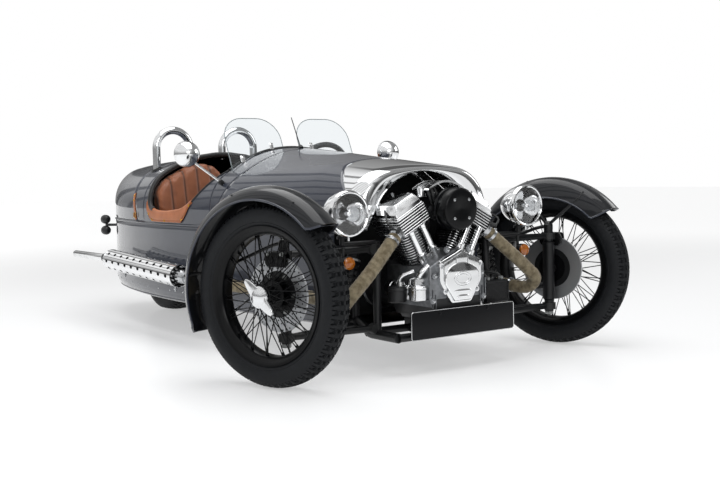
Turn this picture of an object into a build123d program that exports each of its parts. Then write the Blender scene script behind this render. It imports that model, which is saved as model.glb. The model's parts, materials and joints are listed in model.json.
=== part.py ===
"""Three-wheeled open sports car: two steered wire wheels in front, one driven wheel behind,
a V-twin engine out in the open ahead of the front axle line, and a barrel-shaped two-seat body.

Millimetres, +Z up, the nose points along -Y and the car's left is +X. The model is laid out with
y = 0 at the front axle and z = 0 at the ground, and export_node() moves it so that the origin is
the middle of the car's length. The front wheels stand steered to the left, as parked.
"""
from build123d import *
import math
import os

# ---------------------------------------------------------------- overall
FRONT_OVERHANG = 347.5        # front axle to the front of the steered tyre
WHEELBASE = 2390.0
TAIL_OVERHANG = 459.0         # rear axle to the tip of the tail
HINGE_REACH = 6.0             # tip of the tail to the lid's hinge
HINGE_OUTER = 9.0             # radius of the hinge's knuckle
TAIL_TIP = WHEELBASE + TAIL_OVERHANG
OVERALL_LENGTH = FRONT_OVERHANG + TAIL_TIP + HINGE_REACH + HINGE_OUTER
KINGPIN_HALF_TRACK = 674.4    # centre line of the car to a kingpin
KINGPIN_OFFSET = 73.0         # kingpin to the middle of the tyre
STEER_RIGHT = 18.4            # parked steering angles, to the left
STEER_LEFT = 19.4
ORIGIN_SHIFT = FRONT_OVERHANG - OVERALL_LENGTH / 2
GAP = 0.3                     # clearance between pieces that only lie together

# ---------------------------------------------------------------- front wheels
FRONT_RADIUS = 338.0
FRONT_SECTION = 54.0          # half the width of the tyre
RIM_RADIUS = 255.0            # rim flange
RIM_HALF_WIDTH = 46.0
RIM_WELL = 222.0              # inside of the rim, where the spokes end
HUB_RADIUS = 34.0
HUB_FLANGE = 52.0
HUB_OUT = 58.0                # outer hub flange, from the middle plane
HUB_IN = 6.0                  # inner hub flange
SPOKE_RADIUS = 3.6
SPOKES = 20                   # per flange
SPOKE_LEAN = 34.0             # how far round a spoke ends from where it starts, degrees
SPINNER_REACH = 86.0          # tip of the knock-off nut, from the middle plane
SPINNER_EAR = 62.0            # half span of its two ears
DISC_RADIUS = 140.0
DISC_THICK = 9.0
DISC_IN = 40.0                # inner face of the brake disc, from the middle plane
AXLE_RADIUS = 15.0
AXLE_GAP = 0.05

# ---------------------------------------------------------------- rear wheel
REAR_RADIUS = 310.0
REAR_HALF_WIDTH = 97.5
REAR_RIM_RADIUS = 214.0
REAR_RIM_HALF = 84.0
REAR_HUB_RADIUS = 44.0
PULLEY_RADIUS = 112.0
PULLEY_X = 112.0              # middle of the belt pulley
PULLEY_WIDTH = 26.0

# ---------------------------------------------------------------- mudguards
GUARD_RADIUS = 392.0
GUARD_BACK = 15.0             # guard's centre behind the wheel's
GUARD_UP = 8.0
GUARD_HALF_WIDTH = 80.0
GUARD_CROWN = 24.0
GUARD_WALL = 4.0
GUARD_FRONT = 41.0            # front end above the horizontal, degrees
GUARD_REAR = -25.0            # rear end below the horizontal
GUARD_BEAD = 6.0
STAY_RADIUS = 8.0

# ---------------------------------------------------------------- uprights and suspension
UPRIGHT_RADIUS = 26.0
KINGPIN_RADIUS = 20.0         # where the wishbones' eyes turn on it
KINGPIN_GAP = 0.05
UPRIGHT_LOW = 150.0
UPRIGHT_HIGH = 506.0
SWELL_LOW = 200.0             # the thicker middle of the upright
SWELL_HIGH = 456.0
EYE_WALL = 7.0
EYE_HEIGHT = 20.0
LOWER_ARM_Z = 172.0
UPPER_ARM_Z = 480.0
ARM_RADIUS = 13.0
TOWER_X = 280.0
TOWER_FRONT_Y = -30.0
TOWER_REAR_Y = 120.0
TOWER_TOP = 496.0
TOWER_RADIUS = 16.0
TOWER_BEAM = 13.0             # radius of the tube along the towers' tops
DAMPER_RADIUS = 22.0
RAIL_RADIUS = 19.0
CRADLE_Z = 146.0
CRADLE_Y = -165.0
RAIL_REAR = 1960.0
RAIL_STEP_Y = 15.0            # the rails rise from here to clear the floor
RAIL_STEP_LENGTH = 85.0
ENGINE_PLATE_X = 75.0

# ---------------------------------------------------------------- body
BELT_Z = 547.0                # moulding between the tub and the upper panels
FLOOR_Z = 156.0
SHEET = 12.0                  # panel with its frame
SHUT_GAP = 4.0
BODY_HALF_WIDTH = 465.0
BODY_NOSE_HALF_WIDTH = 335.0  # half width at the front axle
WIDEST_Y = 1500.0
TAIL_LENGTH = TAIL_TIP - WIDEST_Y
TAIL_CUT = 4.0                # the tip is flat by this much
NOSE_POWER = 1.6
SHOULDER = 200.0              # largest corner radius of the upper section
TUB_FRONT = 150.0
FLOOR_CORNER = 60.0
FIREWALL_Y = 330.0
COWL_FRONT = 8.0
COWL_SEAM_CENTRE = -35.0      # the cowl's rear edge is an arc in plan
COWL_SEAM_RADIUS = 355.0
COWL_BASE_Z = 560.0
BONNET_REAR = 890.0
OPENING_FRONT = 1040.0
DECK_FRONT = 1700.0           # rear edge of the cockpit opening at the belt
LID_FRONT_LOW = 1862.0
LID_FRONT_HIGH = 2005.0
TOP_Z = 1000.0                # above every panel

# y, top of the body on the centre line, height of the shoulder's lower end
ROOF = (
    (0.0, 800.0, 620.0),
    (250.0, 826.0, 620.0),
    (960.0, 899.0, 620.0),
    (1100.0, 905.0, 620.0),
    (1760.0, 893.0, 620.0),
    (2000.0, 872.0, 620.0),
    (2300.0, 862.0, 622.0),
    (TAIL_TIP - 289.0, 843.0, 636.0),
    (TAIL_TIP - 139.0, 810.0, 662.0),
    (TAIL_TIP - 49.0, 775.0, 680.0),
    (TAIL_TIP - 14.0, 741.0, 687.0),
    (TAIL_TIP - 4.0, 713.0, 690.0),
)
BODY_STATIONS = (0.0, 150.0, 330.0, 600.0, 900.0, 1200.0, 1500.0, 1800.0, 2050.0, 2300.0,
                 TAIL_TIP - 369.0, TAIL_TIP - 229.0, TAIL_TIP - 129.0, TAIL_TIP - 59.0,
                 TAIL_TIP - 23.0, TAIL_TIP - 4.0)

# ---------------------------------------------------------------- engine
CRANK_Z = 290.0
BANK_ANGLE = 28.0             # each cylinder from the vertical
ENGINE_Y = -30.0              # middle of the cylinders
BARREL_LOW = 168.0            # distances from the crank along a cylinder
BARREL_HIGH = 282.0
HEAD_HIGH = 374.0
COVER_HIGH = 425.0
BARREL_HALF = 68.0
HEAD_HALF = 80.0
HEAD_HALF_DEPTH = 92.0
FIN_PITCH = 11.0
FIN_THICK = 4.0
CORE_RADIUS = 54.0
CASE_HALF = 104.0
CASE_FRONT = -182.0
CASE_REAR = 96.0
CAM_COVER_FRONT = -210.0
CLEANER_Z = 636.0
CLEANER_RADIUS = 80.0
CLEANER_FRONT = -215.0
CLEANER_DEPTH = 98.0
PUSHROD_RADIUS = 12.0
HEADER_RADIUS = 28.0
PIPE_RADIUS = 24.0
SILENCER_RADIUS = 47.0
SILENCER_FRONT = 1180.0
SILENCER_REAR = 1985.0
SILENCER_X = 562.0
SILENCER_Z = 318.0
SILENCER_RISE = 36.0          # higher at its rear end
SHIELD_WALL = 3.0
TAILPIPE_RADIUS = 19.0
TAILPIPE_BORE = 16.0
TAILPIPE_END = 2572.0

# ---------------------------------------------------------------- fittings
LAMP_X = 450.0
LAMP_Y = -109.0               # front of the lamp's ring
LAMP_Z = 623.0
LAMP_RADIUS = 89.0
LAMP_DEPTH = 150.0
PLATE_HALF = 260.0
PLATE_HEIGHT = 110.0
PLATE_Y = -218.0
PLATE_Z = 193.0
HOOP_X = 196.0
HOOP_Y = 1945.0
HOOP_HALF = 95.0
HOOP_TOP = 1045.0
HOOP_RADIUS = 24.0
MIRROR_X = 561.0
MIRROR_Y = 1021.0
MIRROR_Z = 875.0
MIRROR_RADIUS = 52.0
SEAT_X = 226.0
SEAT_HALF = 203.0
SEAT_BOTTOM = FLOOR_Z + SHEET + 2 * RAIL_RADIUS + 2 * GAP   # on top of the chassis rails
SEAT_HEIGHT = 655.0
SEAT_THICK = 95.0
SEAT_RAKE = 10.0
SEAT_Y = 1584.0
CUSHION_FRONT = 1180.0
CUSHION_HEIGHT = 92.0
DRIVER_X = 215.0
WHEEL_Y = 1120.0
WHEEL_Z = 775.0
WHEEL_TILT = 20.0
WHEEL_RADIUS = 165.0
WHEEL_GRIP = 14.0
TUNNEL_HALF = 60.0
TUNNEL_Z = 340.0
ARCH_HALF = 134.0
ARCH_Z = 652.0

os.makedirs("parts", exist_ok=True)


def export_node(name, *shapes):
    """Writes one node, moved so that the origin is at the middle of the car's length."""
    solids = [Pos(0, ORIGIN_SHIFT, 0) * solid for shape in shapes for solid in shape.solids()]
    export_step(solids[0] if len(solids) == 1 else Compound(solids), f"parts/{name}.step")


def mirrored(shape):
    """The same piece on the other side of the car."""
    return mirror(shape, about=Plane.YZ)


def between(y, column):
    """A column of ROOF at y, on straight lines between its rows."""
    for low, high in zip(ROOF, ROOF[1:]):
        if low[0] <= y <= high[0]:
            share = (y - low[0]) / (high[0] - low[0])
            return low[column] + share * (high[column] - low[column])
    return ROOF[0][column] if y < ROOF[0][0] else ROOF[-1][column]


def half_width(y, inset=0.0):
    """Half the body's width at y: a power curve to the nose, an ellipse to the tail."""
    if y <= WIDEST_Y:
        narrow = ((WIDEST_Y - y) / WIDEST_Y) ** NOSE_POWER
        return BODY_HALF_WIDTH - (BODY_HALF_WIDTH - BODY_NOSE_HALF_WIDTH) * narrow - inset
    along = (y - WIDEST_Y) / (TAIL_LENGTH - inset)
    return (BODY_HALF_WIDTH - inset) * math.sqrt(max(1 - along * along, 0.0))


def upper_section(y, inset=0.0, base=BELT_Z, narrow=0.0, lower=0.0):
    """The body's outline above the belt at y: straight sides, two shoulders, a flatter crown."""
    full = half_width(y) - narrow
    shoulder = between(y, 2)
    rise = between(y, 1) - lower - shoulder
    corner = min(SHOULDER, 0.93 * rise, 0.75 * full)
    if inset:
        full, rise = half_width(y, inset) - narrow, rise - inset
        corner = min(corner - inset, 0.93 * rise, 0.75 * full)
    flat = full - corner
    crown = (flat * flat + rise * rise - corner * corner) / (2 * (rise - corner))
    drop = crown - rise
    reach = corner / (crown - corner)
    knee = (flat + flat * reach, shoulder + drop * reach)
    bend = math.atan2(drop, flat) / 2
    middle = (flat + corner * math.cos(bend), shoulder + corner * math.sin(bend))
    plane = Plane(origin=(0, y, 0), x_dir=(1, 0, 0), z_dir=(0, -1, 0))
    top = (0, shoulder + rise)
    outline = [
        Line((-full, base), (-full, shoulder)),
        ThreePointArc((-full, shoulder), (-middle[0], middle[1]), (-knee[0], knee[1])),
        ThreePointArc((-knee[0], knee[1]), top, knee),
        ThreePointArc(knee, middle, (full, shoulder)),
        Line((full, shoulder), (full, base)),
        Line((full, base), (-full, base)),
    ]
    return plane * make_face(outline)


def tub_section(y, inset=0.0, top=BELT_Z):
    """The body's outline below the belt at y: straight sides and a flat floor with round corners."""
    full = half_width(y, inset)
    floor = FLOOR_Z + inset
    corner = min(FLOOR_CORNER - inset, 0.6 * full)
    plane = Plane(origin=(0, y, 0), x_dir=(1, 0, 0), z_dir=(0, -1, 0))
    bend = corner * (1 - math.sqrt(0.5))
    outline = [
        Line((-full, top), (-full, floor + corner)),
        ThreePointArc((-full, floor + corner), (-full + bend, floor + bend), (-full + corner, floor)),
        Line((-full + corner, floor), (full - corner, floor)),
        ThreePointArc((full - corner, floor), (full - bend, floor + bend), (full, floor + corner)),
        Line((full, floor + corner), (full, top)),
        Line((full, top), (-full, top)),
    ]
    return plane * make_face(outline)


def loft_between(section, first, last, **options):
    """A ruled loft through the body's stations from first to last."""
    inside = [y for y in BODY_STATIONS if first + 10 < y < last - 10]
    return loft([section(y, **options) for y in [first, *inside, last]], ruled=True)


def tail_end(inset=0.0):
    """Where the tail is cut flat; inside, its tip is filled to twice the wall."""
    return WIDEST_Y + TAIL_LENGTH - TAIL_CUT - 2 * inset


def side_prism(points, half=600.0):
    """A prism across the car from points given as (y, z)."""
    plane = Plane(origin=(-half, 0, 0), x_dir=(0, 1, 0), z_dir=(1, 0, 0))
    return extrude(plane * make_face(Polyline(*points, close=True)), amount=2 * half)


def block(low, high):
    """A box from its lowest to its highest corner."""
    size = [b - a for a, b in zip(low, high)]
    middle = [(a + b) / 2 for a, b in zip(low, high)]
    return Pos(*middle) * Box(*size)


def tube(points, radius, bends=0.0):
    """A round bar along straight runs joined by tangent arcs."""
    if len(points) == 2:
        path = Line(*points)
    else:
        path = FilletPolyline(*points, radius=bends)
    return sweep(Plane(origin=path @ 0, z_dir=path % 0) * Circle(radius), path=path)


def bar(start, end, radius):
    """A straight round bar between two points."""
    along = Vector(*end) - Vector(*start)
    return extrude(Plane(origin=start, z_dir=along) * Circle(radius), amount=along.length)


# ---------------------------------------------------------------- body panels
upper_outside = loft_between(upper_section, 0.0, tail_end())
upper_inside = loft_between(upper_section, -1.0, tail_end(SHEET), inset=SHEET, base=BELT_Z - 1)
upper_shell = upper_outside - upper_inside

tub = loft_between(tub_section, TUB_FRONT, tail_end())
tub -= loft_between(tub_section, TUB_FRONT - 1, tail_end(SHEET), inset=SHEET, top=BELT_Z + 1)
arch_front = WHEELBASE - REAR_RADIUS - 30.0
arch_rear = WHEELBASE + REAR_RADIUS + 16.0
tub -= block((-ARCH_HALF, arch_front, FLOOR_Z - 1), (ARCH_HALF, arch_rear, FLOOR_Z + SHEET + 1))
export_node("body_tub", tub)

COWL_CUT_HEIGHT = TOP_Z + 200


def seam_cylinder(extra):
    """Upright cylinder whose rear is the cowl's seam, grown by extra."""
    return Pos(0, COWL_SEAM_CENTRE, COWL_CUT_HEIGHT / 2) * Cylinder(
        COWL_SEAM_RADIUS + extra, COWL_CUT_HEIGHT)


cockpit_cut = side_prism([
    (OPENING_FRONT, TOP_Z), (OPENING_FRONT, 800), (1220, 652), (1300, 618), (1420, 602),
    (1540, 598), (1640, 612), (DECK_FRONT - 5, 645), (DECK_FRONT + 12, 700), (1765, 890),
    (1775, TOP_Z)])
lid_line = [(LID_FRONT_LOW, BELT_Z), (LID_FRONT_HIGH, 880.0)]
slope = (lid_line[1][0] - lid_line[0][0]) / (lid_line[1][1] - lid_line[0][1])
lid_top_y = LID_FRONT_HIGH + slope * (TOP_Z - 880.0)
lid_low_y = LID_FRONT_LOW - slope * 10.0
END_Y = 3000.0
lid_region = side_prism([
    (lid_low_y, BELT_Z - 10), (lid_top_y, TOP_Z), (END_Y, TOP_Z), (END_Y, BELT_Z - 10)])
lid_region_grown = side_prism([
    (lid_low_y - SHUT_GAP, BELT_Z - 10), (lid_top_y - SHUT_GAP, TOP_Z),
    (END_Y, TOP_Z), (END_Y, BELT_Z - 10)])
behind_bonnet = side_prism([
    (BONNET_REAR, TOP_Z), (BONNET_REAR, 800), (1000, 600), (1040, BELT_Z - 10),
    (END_Y, BELT_Z - 10), (END_Y, TOP_Z)])
behind_bonnet_grown = side_prism([
    (BONNET_REAR - SHUT_GAP, TOP_Z), (BONNET_REAR - SHUT_GAP, 800), (1000 - SHUT_GAP, 600),
    (1040 - SHUT_GAP, BELT_Z - 10), (END_Y, BELT_Z - 10), (END_Y, TOP_Z)])
raised = Pos(0, 0, GAP)

bonnet = upper_shell - behind_bonnet_grown - seam_cylinder(GAP)
bonnet -= block((-600, -50, 0), (600, 90, TOP_Z))
export_node("bonnet", bonnet)
surround = (upper_shell & behind_bonnet) - lid_region_grown - cockpit_cut
export_node("cockpit_surround", surround)
lid = upper_shell & lid_region
HINGE_Y = TAIL_TIP + HINGE_REACH
HINGE_Z = BELT_Z + 4.0
knuckle = Pos(0, HINGE_Y, HINGE_Z + 3) * (Rot(0, 90, 0) * Cylinder(HINGE_OUTER, 44))
knuckle += block((-22, tail_end() - 9, HINGE_Z - 2), (22, HINGE_Y, HINGE_Z + 12))
lid = raised * lid
export_node("boot_lid", lid + knuckle)

MOUTH_TOP = 777.0
MOUTH_KNEE = (224.0, 660.0)
mouth_half = [MOUTH_KNEE, (285.0, 626.0), (290.0, COWL_BASE_Z - 10)]
mouth_side = mouth_half + [(-x, z) for x, z in reversed(mouth_half)]
cowl_y = (COWL_FRONT, 60.0, 150.0, 250.0, 322.0)
cowl_narrow = (38.0, 8.0, 0.0, 0.0, 0.0)
cowl_lower = (16.0, 3.0, 0.0, 0.0, 0.0)
cowl = loft([upper_section(y, base=COWL_BASE_Z, narrow=n, lower=d)
             for y, n, d in zip(cowl_y, cowl_narrow, cowl_lower)], ruled=True)
cowl_hollow = loft([upper_section(y, inset=SHEET, base=COWL_BASE_Z - 1, narrow=n, lower=d)
                    for y, n, d in zip((62.0, 150.0, 250.0, 323.0), (8.0, 0, 0, 0), (3.0, 0, 0, 0))],
                   ruled=True)
mouth_face = make_face([
    ThreePointArc((-MOUTH_KNEE[0], MOUTH_KNEE[1]), (0, MOUTH_TOP), MOUTH_KNEE),
    *[Line(a, b) for a, b in zip(mouth_side, mouth_side[1:])]])
mouth = Pos(0, 100, 0) * extrude(
    Plane(origin=(0, 0, 0), x_dir=(1, 0, 0), z_dir=(0, -1, 0)) * mouth_face, amount=120)
cowl = (cowl - cowl_hollow - mouth) & seam_cylinder(0.0)
export_node("front_cowl", cowl)


# ---------------------------------------------------------------- chassis
rail_z = FLOOR_Z + SHEET + RAIL_RADIUS + GAP
chassis_bits = []
for side in (-1, 1):
    x = side * TOWER_X
    chassis_bits.append(tube([
        (x, CRADLE_Y, CRADLE_Z), (x, RAIL_STEP_Y, CRADLE_Z),
        (x, RAIL_STEP_Y + RAIL_STEP_LENGTH, rail_z),
        (x, RAIL_REAR, rail_z)], RAIL_RADIUS, bends=60))
    for tower_y in (TOWER_FRONT_Y, TOWER_REAR_Y):
        chassis_bits.append(bar((x, tower_y, CRADLE_Z), (x, tower_y, TOWER_TOP), TOWER_RADIUS))
    chassis_bits.append(bar((x, TOWER_FRONT_Y, TOWER_TOP - TOWER_RADIUS),
                            (x, TOWER_REAR_Y, TOWER_TOP - TOWER_RADIUS), TOWER_BEAM))
    plate_x = side * ENGINE_PLATE_X
    chassis_bits.append(block((plate_x - 6, CRADLE_Y, CRADLE_Z - 14),
                              (plate_x + 6, 60, CRANK_Z - 85 - GAP)))
    chassis_bits.append(block((side * 120 - 8, PLATE_Y + 3 + GAP, CRADLE_Z - 8),
                              (side * 120 + 8, CRADLE_Y, PLATE_Z - 5)))
for cross_y, cross_z in ((CRADLE_Y, CRADLE_Z), (45.0, CRADLE_Z), (RAIL_REAR - 110, rail_z),
                         (TOWER_REAR_Y, TOWER_TOP - TOWER_RADIUS)):
    chassis_bits.append(bar((-TOWER_X, cross_y, cross_z), (TOWER_X, cross_y, cross_z),
                            TOWER_RADIUS))
chassis = chassis_bits[0].fuse(*chassis_bits[1:])
export_node("chassis_frame", chassis)


def suspension(side):
    """Two wishbones with their eyes on the kingpin, and the damper between them."""
    king = side * KINGPIN_HALF_TRACK
    bits = []
    for arm_z in (LOWER_ARM_Z, UPPER_ARM_Z):
        ring = Pos(king, 0, arm_z) * Cylinder(KINGPIN_RADIUS + EYE_WALL, EYE_HEIGHT)
        for tower_y in (TOWER_FRONT_Y, TOWER_REAR_Y):
            bits.append(bar((side * TOWER_X, tower_y, arm_z),
                            (king - side * (KINGPIN_RADIUS + 3), 0, arm_z), ARM_RADIUS))
        bits.append(ring)
    damper_y = (TOWER_FRONT_Y + TOWER_REAR_Y) / 2
    low = (side * 415, damper_y, LOWER_ARM_Z + 4)
    high = (side * 332, damper_y, UPPER_ARM_Z - 4)
    bits.append(bar(low, high, DAMPER_RADIUS))
    for arm_z, arm_x in ((LOWER_ARM_Z, 415.0), (UPPER_ARM_Z, 332.0)):
        bits.append(bar((side * arm_x, damper_y - 75, arm_z), (side * arm_x, damper_y + 75, arm_z),
                        ARM_RADIUS - 3))
    arms = bits[0].fuse(*bits[1:])
    arms -= Pos(king, 0, 300) * Cylinder(KINGPIN_RADIUS + KINGPIN_GAP, 600)
    for tower_y in (TOWER_FRONT_Y, TOWER_REAR_Y):
        arms -= Pos(side * TOWER_X, tower_y, 300) * Cylinder(TOWER_RADIUS + GAP, 600)
    x = side * TOWER_X
    arms -= bar((x, RAIL_STEP_Y, rail_z), (x, RAIL_REAR, rail_z), RAIL_RADIUS + 3)
    beam_z = TOWER_TOP - TOWER_RADIUS
    arms -= bar((x, TOWER_FRONT_Y - 6, beam_z), (x, TOWER_REAR_Y + 6, beam_z), TOWER_BEAM + 1)
    inboard = block((-TOWER_X, -300, 0), (TOWER_X, 300, 600))
    return arms - inboard


export_node("front_suspension", suspension(1), suspension(-1))


# ---------------------------------------------------------------- front corners
def left_corner(shape):
    """Puts a piece made about the wheel's centre, outboard along +X, on the left kingpin."""
    turned = Rot(0, 0, STEER_LEFT) * (Pos(KINGPIN_OFFSET, 0, FRONT_RADIUS) * shape)
    return Pos(KINGPIN_HALF_TRACK, 0, 0) * turned


def right_corner(shape):
    """The mirrored piece on the right kingpin."""
    turned = Rot(0, 0, STEER_RIGHT) * (Pos(-KINGPIN_OFFSET, 0, FRONT_RADIUS) * mirrored(shape))
    return Pos(-KINGPIN_HALF_TRACK, 0, 0) * turned


def turned_ring(points):
    """A ring about the X axis from its section, given as (x, radius)."""
    section = Plane.XY * make_face(Polyline(*points, close=True))
    return revolve(section, axis=Axis.X)


def polar(angle, radius, x=0.0):
    """A point about the X axis: angle 0 is rearward, 90 is up."""
    turn = math.radians(angle)
    return (x, radius * math.cos(turn), radius * math.sin(turn))


def front_tyre():
    """A narrow, tall tyre: filled between its beads, where nothing shows."""
    bead = RIM_RADIUS - 17 + GAP
    seat = RIM_HALF_WIDTH - 4 - GAP
    wide, tall = FRONT_SECTION, FRONT_RADIUS
    outline = [
        Line((-seat, bead), (seat, bead)),
        Line((seat, bead), (seat, RIM_RADIUS + 1)),
        ThreePointArc((seat, RIM_RADIUS + 1), (wide, RIM_RADIUS + 36), (wide - 9, tall - 17)),
        ThreePointArc((wide - 9, tall - 17), (0, tall), (9 - wide, tall - 17)),
        ThreePointArc((9 - wide, tall - 17), (-wide, RIM_RADIUS + 36), (-seat, RIM_RADIUS + 1)),
        Line((-seat, RIM_RADIUS + 1), (-seat, bead)),
    ]
    return revolve(Plane.XY * make_face(outline), axis=Axis.X)


def front_wheel():
    """Rim, two sets of crossing spokes, hub, knock-off nut and brake disc."""
    half, flange = RIM_HALF_WIDTH, RIM_RADIUS
    bed = flange - 17
    rim = turned_ring([
        (-half, flange), (4 - half, flange), (4 - half, bed), (-28, bed - 2), (-22, bed - 11),
        (22, bed - 11), (28, bed - 2), (half - 4, bed), (half - 4, flange), (half, flange),
        (half, bed + 8), (half - 6, bed - 5), (26, RIM_WELL), (-26, RIM_WELL),
        (6 - half, bed - 5), (-half, bed + 8)])
    nose = SPINNER_REACH
    hub = turned_ring([
        (-DISC_IN, 0), (-DISC_IN, 62), (-DISC_IN + DISC_THICK, 62), (-HUB_IN - 6, HUB_FLANGE),
        (-HUB_IN + 4, HUB_FLANGE), (-HUB_IN + 9, HUB_RADIUS), (HUB_OUT - 10, HUB_RADIUS),
        (HUB_OUT - 4, HUB_FLANGE - 8), (HUB_OUT + 4, HUB_FLANGE - 8), (HUB_OUT + 8, HUB_RADIUS),
        (nose - 16, HUB_RADIUS - 4), (nose - 4, 18), (nose, 8), (nose, 0)])
    disc = turned_ring([
        (-DISC_IN, 58), (-DISC_IN, DISC_RADIUS), (-DISC_IN + DISC_THICK, DISC_RADIUS),
        (-DISC_IN + DISC_THICK, 58)])
    bits = [hub, disc]
    ears = Pos(nose - 14, 0, 0) * Box(12, 2 * SPINNER_EAR, 20)
    bits.append(Rot(-28, 0, 0) * ears)
    # hub end: x, radius; rim end: x; which way the spokes lean
    for hub_x, hub_r, rim_x, lean in ((HUB_OUT, HUB_FLANGE - 11, 12.0, SPOKE_LEAN),
                                      (-HUB_IN, HUB_FLANGE - 4, -10.0, -SPOKE_LEAN)):
        for step in range(SPOKES):
            angle = 360.0 * step / SPOKES + (9.0 if lean < 0 else 0.0)
            bits.append(bar(polar(angle, hub_r, hub_x), polar(angle + lean, RIM_WELL + 3, rim_x),
                            SPOKE_RADIUS))
    wheel = rim.fuse(*bits)
    bore_end = HUB_OUT
    bore = turned_ring([(-DISC_IN - 1, 0), (-DISC_IN - 1, AXLE_RADIUS + AXLE_GAP),
                        (bore_end, AXLE_RADIUS + AXLE_GAP), (bore_end, 0)])
    return wheel - bore


def upright():
    """Kingpin tube with its stub axle and the brake caliper."""
    king_x, foot = -KINGPIN_OFFSET, -FRONT_RADIUS
    tubes = [
        Pos(king_x, 0, foot + (UPRIGHT_LOW + UPRIGHT_HIGH) / 2)
        * Cylinder(KINGPIN_RADIUS, UPRIGHT_HIGH - UPRIGHT_LOW),
        Pos(king_x, 0, foot + (SWELL_LOW + SWELL_HIGH) / 2)
        * Cylinder(UPRIGHT_RADIUS, SWELL_HIGH - SWELL_LOW),
        bar((king_x, 0, 0), (HUB_OUT - 8, 0, 0), AXLE_RADIUS),
    ]
    caliper = block((-DISC_IN - 20, DISC_RADIUS - 42, -55), (-DISC_IN + 21, DISC_RADIUS + 18, 55))
    slot = turned_ring([(-DISC_IN - 3, 30), (-DISC_IN - 3, DISC_RADIUS + 6),
                        (-DISC_IN + DISC_THICK + 3, DISC_RADIUS + 6),
                        (-DISC_IN + DISC_THICK + 3, 30)])
    caliper -= slot
    carrier = block((king_x - 6, 0, -24), (-DISC_IN - 6, DISC_RADIUS - 20, 24))
    tubes += [caliper, carrier]
    return tubes[0].fuse(*tubes[1:])


def mudguard():
    """A crowned cycle guard on three stays that meet on top of the kingpin."""
    wide, crown, radius = GUARD_HALF_WIDTH, GUARD_CROWN, GUARD_RADIUS
    inner = radius - GUARD_WALL
    outline = [
        ThreePointArc((-wide, radius - crown), (0, radius), (wide, radius - crown)),
        Line((wide, radius - crown), (wide, inner - crown)),
        ThreePointArc((wide, inner - crown), (0, inner), (-wide, inner - crown)),
        Line((-wide, inner - crown), (-wide, radius - crown)),
    ]
    section = Plane.XY * make_face(outline)
    beads = [Plane.XY * (Pos(side * wide, inner - crown + 1) * Circle(GUARD_BEAD))
             for side in (-1, 1)]
    sweep_angle = 180.0 - GUARD_REAR - GUARD_FRONT
    bits = []
    for face in (section, *beads):
        # the section stands at the rear, towards +Y, and turns over the top to the front
        start = Rot(GUARD_REAR, 0, 0) * face
        bits.append(revolve(start, axis=Axis.X, revolution_arc=sweep_angle))
    shift = Pos(0, GUARD_BACK, GUARD_UP)
    guard = shift * bits[0].fuse(*bits[1:])
    boss_low = UPRIGHT_HIGH + GAP - FRONT_RADIUS
    boss = Pos(-KINGPIN_OFFSET, 0, boss_low + 14) * Cylinder(KINGPIN_RADIUS, 28)
    stays = []
    for angle in (172.0, 108.0, 62.0):
        end_radius = radius - crown * (KINGPIN_OFFSET / wide) ** 2 - GUARD_WALL / 2
        tip = polar(180.0 - angle, end_radius, -KINGPIN_OFFSET)
        end = (tip[0], tip[1] + GUARD_BACK, tip[2] + GUARD_UP)
        stays.append(bar((-KINGPIN_OFFSET, 0, boss_low + 18), end, STAY_RADIUS))
    return guard.fuse(boss, *stays)


tyre, wheel, knuckle_piece, guard = front_tyre(), front_wheel(), upright(), mudguard()
for name, shape in (("front_tyre", tyre), ("front_wheel", wheel), ("upright", knuckle_piece),
                    ("mudguard", guard)):
    export_node(f"{name}_left", left_corner(shape))
    export_node(f"{name}_right", right_corner(shape))


# ---------------------------------------------------------------- rear wheel and what carries it
def rear_corner(shape):
    """Puts a piece made about the wheel's centre on the rear axle."""
    return Pos(0, WHEELBASE, REAR_RADIUS) * shape


def rear_tyre():
    """A wide road tyre, filled between its beads."""
    bead = REAR_RIM_RADIUS - 12 + GAP
    seat = REAR_RIM_HALF - 6 - GAP
    wide, tall = REAR_HALF_WIDTH, REAR_RADIUS
    outline = [
        Line((-seat, bead), (seat, bead)),
        Line((seat, bead), (seat, REAR_RIM_RADIUS + 1)),
        ThreePointArc((seat, REAR_RIM_RADIUS + 1), (wide, REAR_RIM_RADIUS + 42),
                      (wide - 12, tall - 14)),
        ThreePointArc((wide - 12, tall - 14), (0, tall), (12 - wide, tall - 14)),
        ThreePointArc((12 - wide, tall - 14), (-wide, REAR_RIM_RADIUS + 42),
                      (-seat, REAR_RIM_RADIUS + 1)),
        Line((-seat, REAR_RIM_RADIUS + 1), (-seat, bead)),
    ]
    return revolve(Plane.XY * make_face(outline), axis=Axis.X)


def rear_wheel():
    """Drilled disc wheel with its hub and belt pulley."""
    half, flange = REAR_RIM_HALF, REAR_RIM_RADIUS
    bed = flange - 12
    wheel = turned_ring([
        (-half, flange), (6 - half, flange), (6 - half, bed), (half - 6, bed), (half - 6, flange),
        (half, flange), (half, bed - 8), (14, bed - 14), (14, REAR_HUB_RADIUS),
        (PULLEY_X - PULLEY_WIDTH / 2, REAR_HUB_RADIUS),
        (PULLEY_X - PULLEY_WIDTH / 2, PULLEY_RADIUS),
        (PULLEY_X + PULLEY_WIDTH / 2, PULLEY_RADIUS), (PULLEY_X + PULLEY_WIDTH / 2, AXLE_RADIUS),
        (-half, AXLE_RADIUS), (-half, REAR_HUB_RADIUS), (-14, REAR_HUB_RADIUS),
        (-14, bed - 14), (-half, bed - 8)])
    for step in range(8):
        wheel -= Pos(*polar(45.0 * step, 130)) * (Rot(0, 90, 0) * Cylinder(27, 60))
    bore = Rot(0, 90, 0) * Cylinder(AXLE_RADIUS + AXLE_GAP, 400)
    return wheel - bore


export_node("rear_tyre", rear_corner(rear_tyre()))
export_node("rear_wheel", rear_corner(rear_wheel()))

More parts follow.
